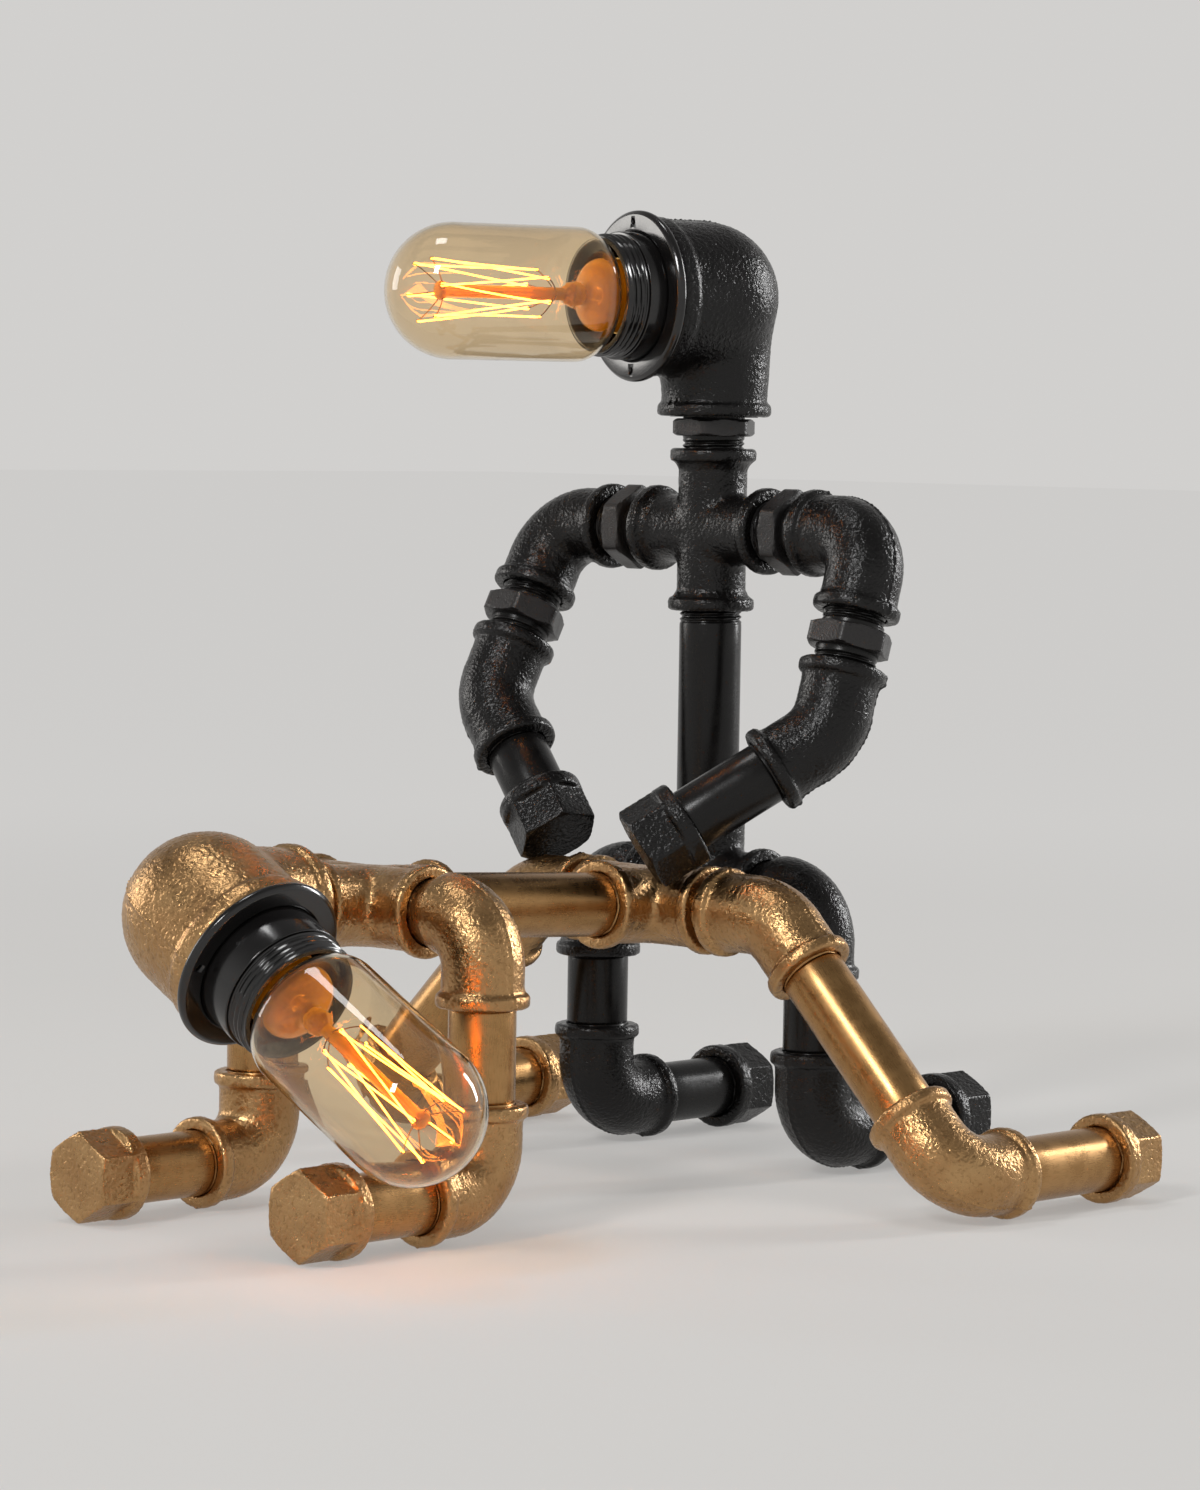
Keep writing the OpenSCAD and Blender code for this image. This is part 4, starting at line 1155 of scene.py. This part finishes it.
def bulb_stem(kind):
    """Flared dome, bubbly pinched ball, and the rod with its button."""
    rows = list(STEM_FLARE)
    rng = np.random.default_rng(7)
    knots = N // 6
    for a in np.linspace(-55, 62, 16):
        a = math.radians(a)
        knobs = 0.35 * rng.standard_normal(knots).clip(-1, 1)
        ripple = np.interp(THETA, np.linspace(0, 2 * math.pi, knots), np.append(knobs[:-1], knobs[0]))
        rows.append((BALL_R * math.cos(a) + ripple - 0.2, BALL_Z + BALL_R * math.sin(a)))
    rows += STEM_ROD + STEM_INSIDE
    obj = weld(rows_piece(kind + "_stem", rows, AT_BULB[kind], n=N, sharp=None, uv=False))
    return dress(obj, "stem_glass", kind + "_bulb", (kind + "_bulb_stem",))


STRANDS = 12
CAGE = (58.0, 102.0)
CAGE_R = (8.0, 11.0)
HUB_R = (1.9, 2.9)
HUB_BEHIND = 6
FILAMENT_R = 0.3
SUPPORT_R = 0.2
CAP_PITCH = 3.63


def cage_point(i):
    """Hook i of the cage: the even ones are at the back, near the stem's dome."""
    a = math.radians(360 * i / STRANDS + 8)
    end = i % 2
    return np.array([CAGE_R[end] * math.cos(a), CAGE_R[end] * math.sin(a), CAGE[end]])


def outward(p):
    """Direction from the bulb's axis to a point."""
    return np.array([p[0], p[1], 0.0]) / np.linalg.norm(p[:2])


def bulb_filament(kind):
    """Zigzag wire: bowed strands with a small loop round each hook."""
    rng = np.random.default_rng(11)
    path = []
    for i in range(STRANDS):
        p = cage_point(i)
        way = 1 if i % 2 else -1
        side = np.cross(p / np.linalg.norm(p), [0, 0, 1.0])
        side /= np.linalg.norm(side)
        out = outward(p)
        if i:
            q = path[-1]
            start = p - side * 0.45 - np.array([0, 0, way * 0.4])
            bow = rng.uniform(-0.5, 0.35)
            lean = rng.uniform(-0.3, 0.3)
            for k in np.linspace(0, 1, 13)[1:]:
                base = q + (start - q) * k
                path.append(base + out * bow * math.sin(math.pi * k) + side * lean * math.sin(math.pi * k))
        for a in np.linspace(-150, 150, 9):
            a = math.radians(a)
            path.append(p + side * 0.45 * math.sin(a) + np.array([0, 0, way * 0.45 * math.cos(a) - way * 0.2]))
    obj = tubes_object(kind + "_filament", [tube(path, FILAMENT_R, sides=8)], AT_BULB[kind], sharp=None)
    return dress(obj, "filament", kind + "_bulb", (kind + "_bulb_filament",))


def bulb_supports(kind):
    """Fine wires from the rod to each hook, curled at the tip."""
    parts = []
    for i in range(STRANDS):
        p = cage_point(i)
        end = i % 2
        out = outward(p)
        hub = out * HUB_R[end] + np.array([0, 0, CAGE[end] - HUB_BEHIND])
        way = 1 if end else -1
        path = [hub + (p - hub) * k + out * 0.6 * math.sin(math.pi * k) for k in np.linspace(0, 0.93, 9)]
        for a in np.linspace(200, -60, 8):
            a = math.radians(a)
            path.append(p + out * 0.55 * math.cos(a) * 0.7 + np.array([0, 0, way * 0.55 * math.sin(a)]))
        parts.append(tube(path, SUPPORT_R, sides=6))
    obj = tubes_object(kind + "_supports", parts, AT_BULB[kind], sharp=None)
    return dress(obj, "support_wire", kind + "_bulb", (kind + "_bulb_supports",))


def bulb_cap(kind):
    """Spun screw cap with a rolled thread, black insulator and tip contact."""
    rows = [
        (0.0, 0.0), (2.6, 0.05), (3.9, 0.5), (4.4, 1.3), (4.5, 2.3),
        (5.4, 2.5), (8.4, 4.1), (11.4, 5.7), (12.3, 6.0),
    ]
    for z in np.arange(6.6, 22.5, CAP_PITCH / 12):
        run = min(1.0, (z - 6.4) / 1.5, (22.6 - z) / 1.5)
        wave = 0.5 + 0.5 * np.cos(2 * math.pi * (z / CAP_PITCH - TURN))
        rows.append((CAP_R - 0.05 - 0.75 * (1 - wave) * max(0.0, run), z))
    rows += [
        (12.95, 23.0), (12.95, 25.6), (12.8, 26.0), (12.45, 26.0),
        (12.42, 25.0), (12.42, 20.0), (12.0, 7.0), (0.0, 6.6),
    ]
    obj = weld(rows_piece(kind + "_cap", rows, AT_BULB[kind], n=N, sharp=40, closed=False, uv=False))
    obj.data.materials.append(MAT["bulb_cap_brass"])
    obj.data.materials.append(MAT["insulator"])
    inverse = AT_BULB[kind].inverted()
    for f in obj.data.polygons:
        z = (inverse @ (f.center * MM_PER_M)).z
        if 2.4 < z < 5.8:
            f.material_index = 1
    return dress(obj, None, kind + "_bulb", (kind + "_bulb_cap",))


for kind in KINDS:
    for build in (holder_ring, holder_body, bulb_glass, bulb_stem, bulb_filament, bulb_supports, bulb_cap):
        build(kind)

# ---------- CAD nodes that stay ----------

for name, obj in NODES.items():
    obj.data.materials.clear()
    obj.data.materials.append(MAT[SLOT.get(name, "black_cast")])
    obj.data.polygons.foreach_set("material_index", [0] * len(obj.data.polygons))

# ---------- floor, light and camera ----------


WARM_WHITE = (1.0, 0.985, 0.965, 1.0)
FLOOR_HALF = 14.0
FLOOR_DROP = 2e-5


def floor():
    """Pale floor. Away from the part it hands over from lamp light to an even glow that only shows."""
    n = Nodes("floor")
    near_by = n.mix(n.noise(3.0, 3.0, 0.5), (0.39, 0.384, 0.374, 1.0), (0.41, 0.404, 0.394, 1.0))
    place = n.add("ShaderNodeVectorMath", operation="LENGTH")
    n.put(place, 0, n.coords())
    away = n.add("ShaderNodeMapRange")
    away.interpolation_type = "SMOOTHSTEP"
    for k, v in (("Value", place.outputs["Value"]), ("From Min", 0.45), ("From Max", 1.7)):
        n.put(away, k, v)
    away = away.outputs["Result"]
    path = n.add("ShaderNodeLightPath")
    seen = n.math("MAXIMUM", path.outputs["Is Camera Ray"], path.outputs["Is Glossy Ray"])
    seen = n.math("MAXIMUM", seen, path.outputs["Is Transmission Ray"])
    n.principled(
        Base_Color=n.mix(away, near_by, (0.04, 0.0394, 0.0384, 1.0)),
        Roughness=0.85,
        Specular_IOR_Level=0.0,
        Emission_Color=WARM_WHITE,
        Emission_Strength=n.math("MULTIPLY", n.span(away, 0.0, 1.0, 0.3, 0.6), seen),
    )
    a, z = FLOOR_HALF, -FLOOR_DROP
    mesh = bpy.data.meshes.new("floor")
    mesh.from_pydata([(-a, -a, z), (a, -a, z), (a, a, z), (-a, a, z)], [], [(0, 1, 2, 3)])
    obj = bpy.data.objects.new("floor", mesh)
    bpy.context.scene.collection.objects.link(obj)
    obj.data.materials.append(n.mat)


def world():
    """Soft studio all round, brighter near the horizon than overhead."""
    w = bpy.data.worlds.new("studio")
    bpy.context.scene.world = w
    w.use_nodes = True
    tree = w.node_tree
    tree.nodes.clear()
    out = tree.nodes.new("ShaderNodeOutputWorld")
    back = tree.nodes.new("ShaderNodeBackground")
    back.inputs["Color"].default_value = WARM_WHITE
    way = tree.nodes.new("ShaderNodeSeparateXYZ")
    tree.links.new(tree.nodes.new("ShaderNodeTexCoord").outputs["Generated"], way.inputs[0])
    level = tree.nodes.new("ShaderNodeMapRange")
    level.interpolation_type = "SMOOTHSTEP"
    for k, v in (("From Min", 0.12), ("From Max", 0.85), ("To Min", 0.64), ("To Max", 0.22)):
        level.inputs[k].default_value = v
    tree.links.new(way.outputs["Z"], level.inputs["Value"])
    tree.links.new(level.outputs["Result"], back.inputs["Strength"])
    tree.links.new(back.outputs[0], out.inputs["Surface"])


def softbox(name, at, aim, size, power, colour=(1.0, 1.0, 1.0)):
    """Area lamp in metres and watts."""
    light = bpy.data.lights.new(name, "AREA")
    light.shape = "RECTANGLE"
    light.size, light.size_y = size
    light.energy = power
    light.color = colour
    light.spread = math.radians(130)
    obj = bpy.data.objects.new(name, light)
    obj.location = at
    obj.rotation_euler = (Vector(aim) - Vector(at)).to_track_quat("-Z", "Y").to_euler()
    obj.visible_transmission = False
    bpy.context.scene.collection.objects.link(obj)


def camera():
    """The photograph's camera, as fitted to measured points."""
    data = bpy.data.cameras.new("camera")
    data.sensor_fit = "VERTICAL"
    data.sensor_height = 36.0
    data.sensor_width = 36.0
    data.lens = 5100.4 / 1490 * 36.0  # focal length and picture height in pixels, times the sensor
    data.clip_start = 0.05
    data.clip_end = 60
    obj = bpy.data.objects.new("camera", data)
    azimuth, pitch, roll = (math.radians(v) for v in (-46.20, 3.74, 0.91))
    level = math.cos(pitch)
    back = Vector((math.sin(azimuth) * level, -math.cos(azimuth) * level, math.sin(pitch)))
    right = Vector((math.cos(azimuth), math.sin(azimuth), 0.0))
    up = back.cross(right)
    rolled_right = right * math.cos(roll) + up * math.sin(roll)
    rolled_up = up * math.cos(roll) - right * math.sin(roll)
    m = Matrix((rolled_right, rolled_up, back)).transposed().to_4x4()
    m.translation = Vector((-1.1906, -1.1665, 0.2578))
    obj.matrix_world = m
    bpy.context.scene.collection.objects.link(obj)
    bpy.context.scene.camera = obj


floor()
world()
softbox("key", (-2.1, -0.5, 1.7), (0.0, 0.0, 0.14), (0.36, 0.62), 11.5)
softbox("side", (2.3, -0.8, 0.85), (0.02, 0.0, 0.16), (0.3, 1.2), 15.0)
softbox("back", (-0.9, 2.3, 0.75), (0.0, 0.0, 0.2), (0.7, 0.9), 5.5, (1.0, 0.97, 0.93))
softbox("top", (-0.3, 0.5, 2.5), (-0.02, 0.0, 0.1), (0.5, 0.5), 4.0)
camera()
bpy.context.scene.view_settings.view_transform = "Standard"
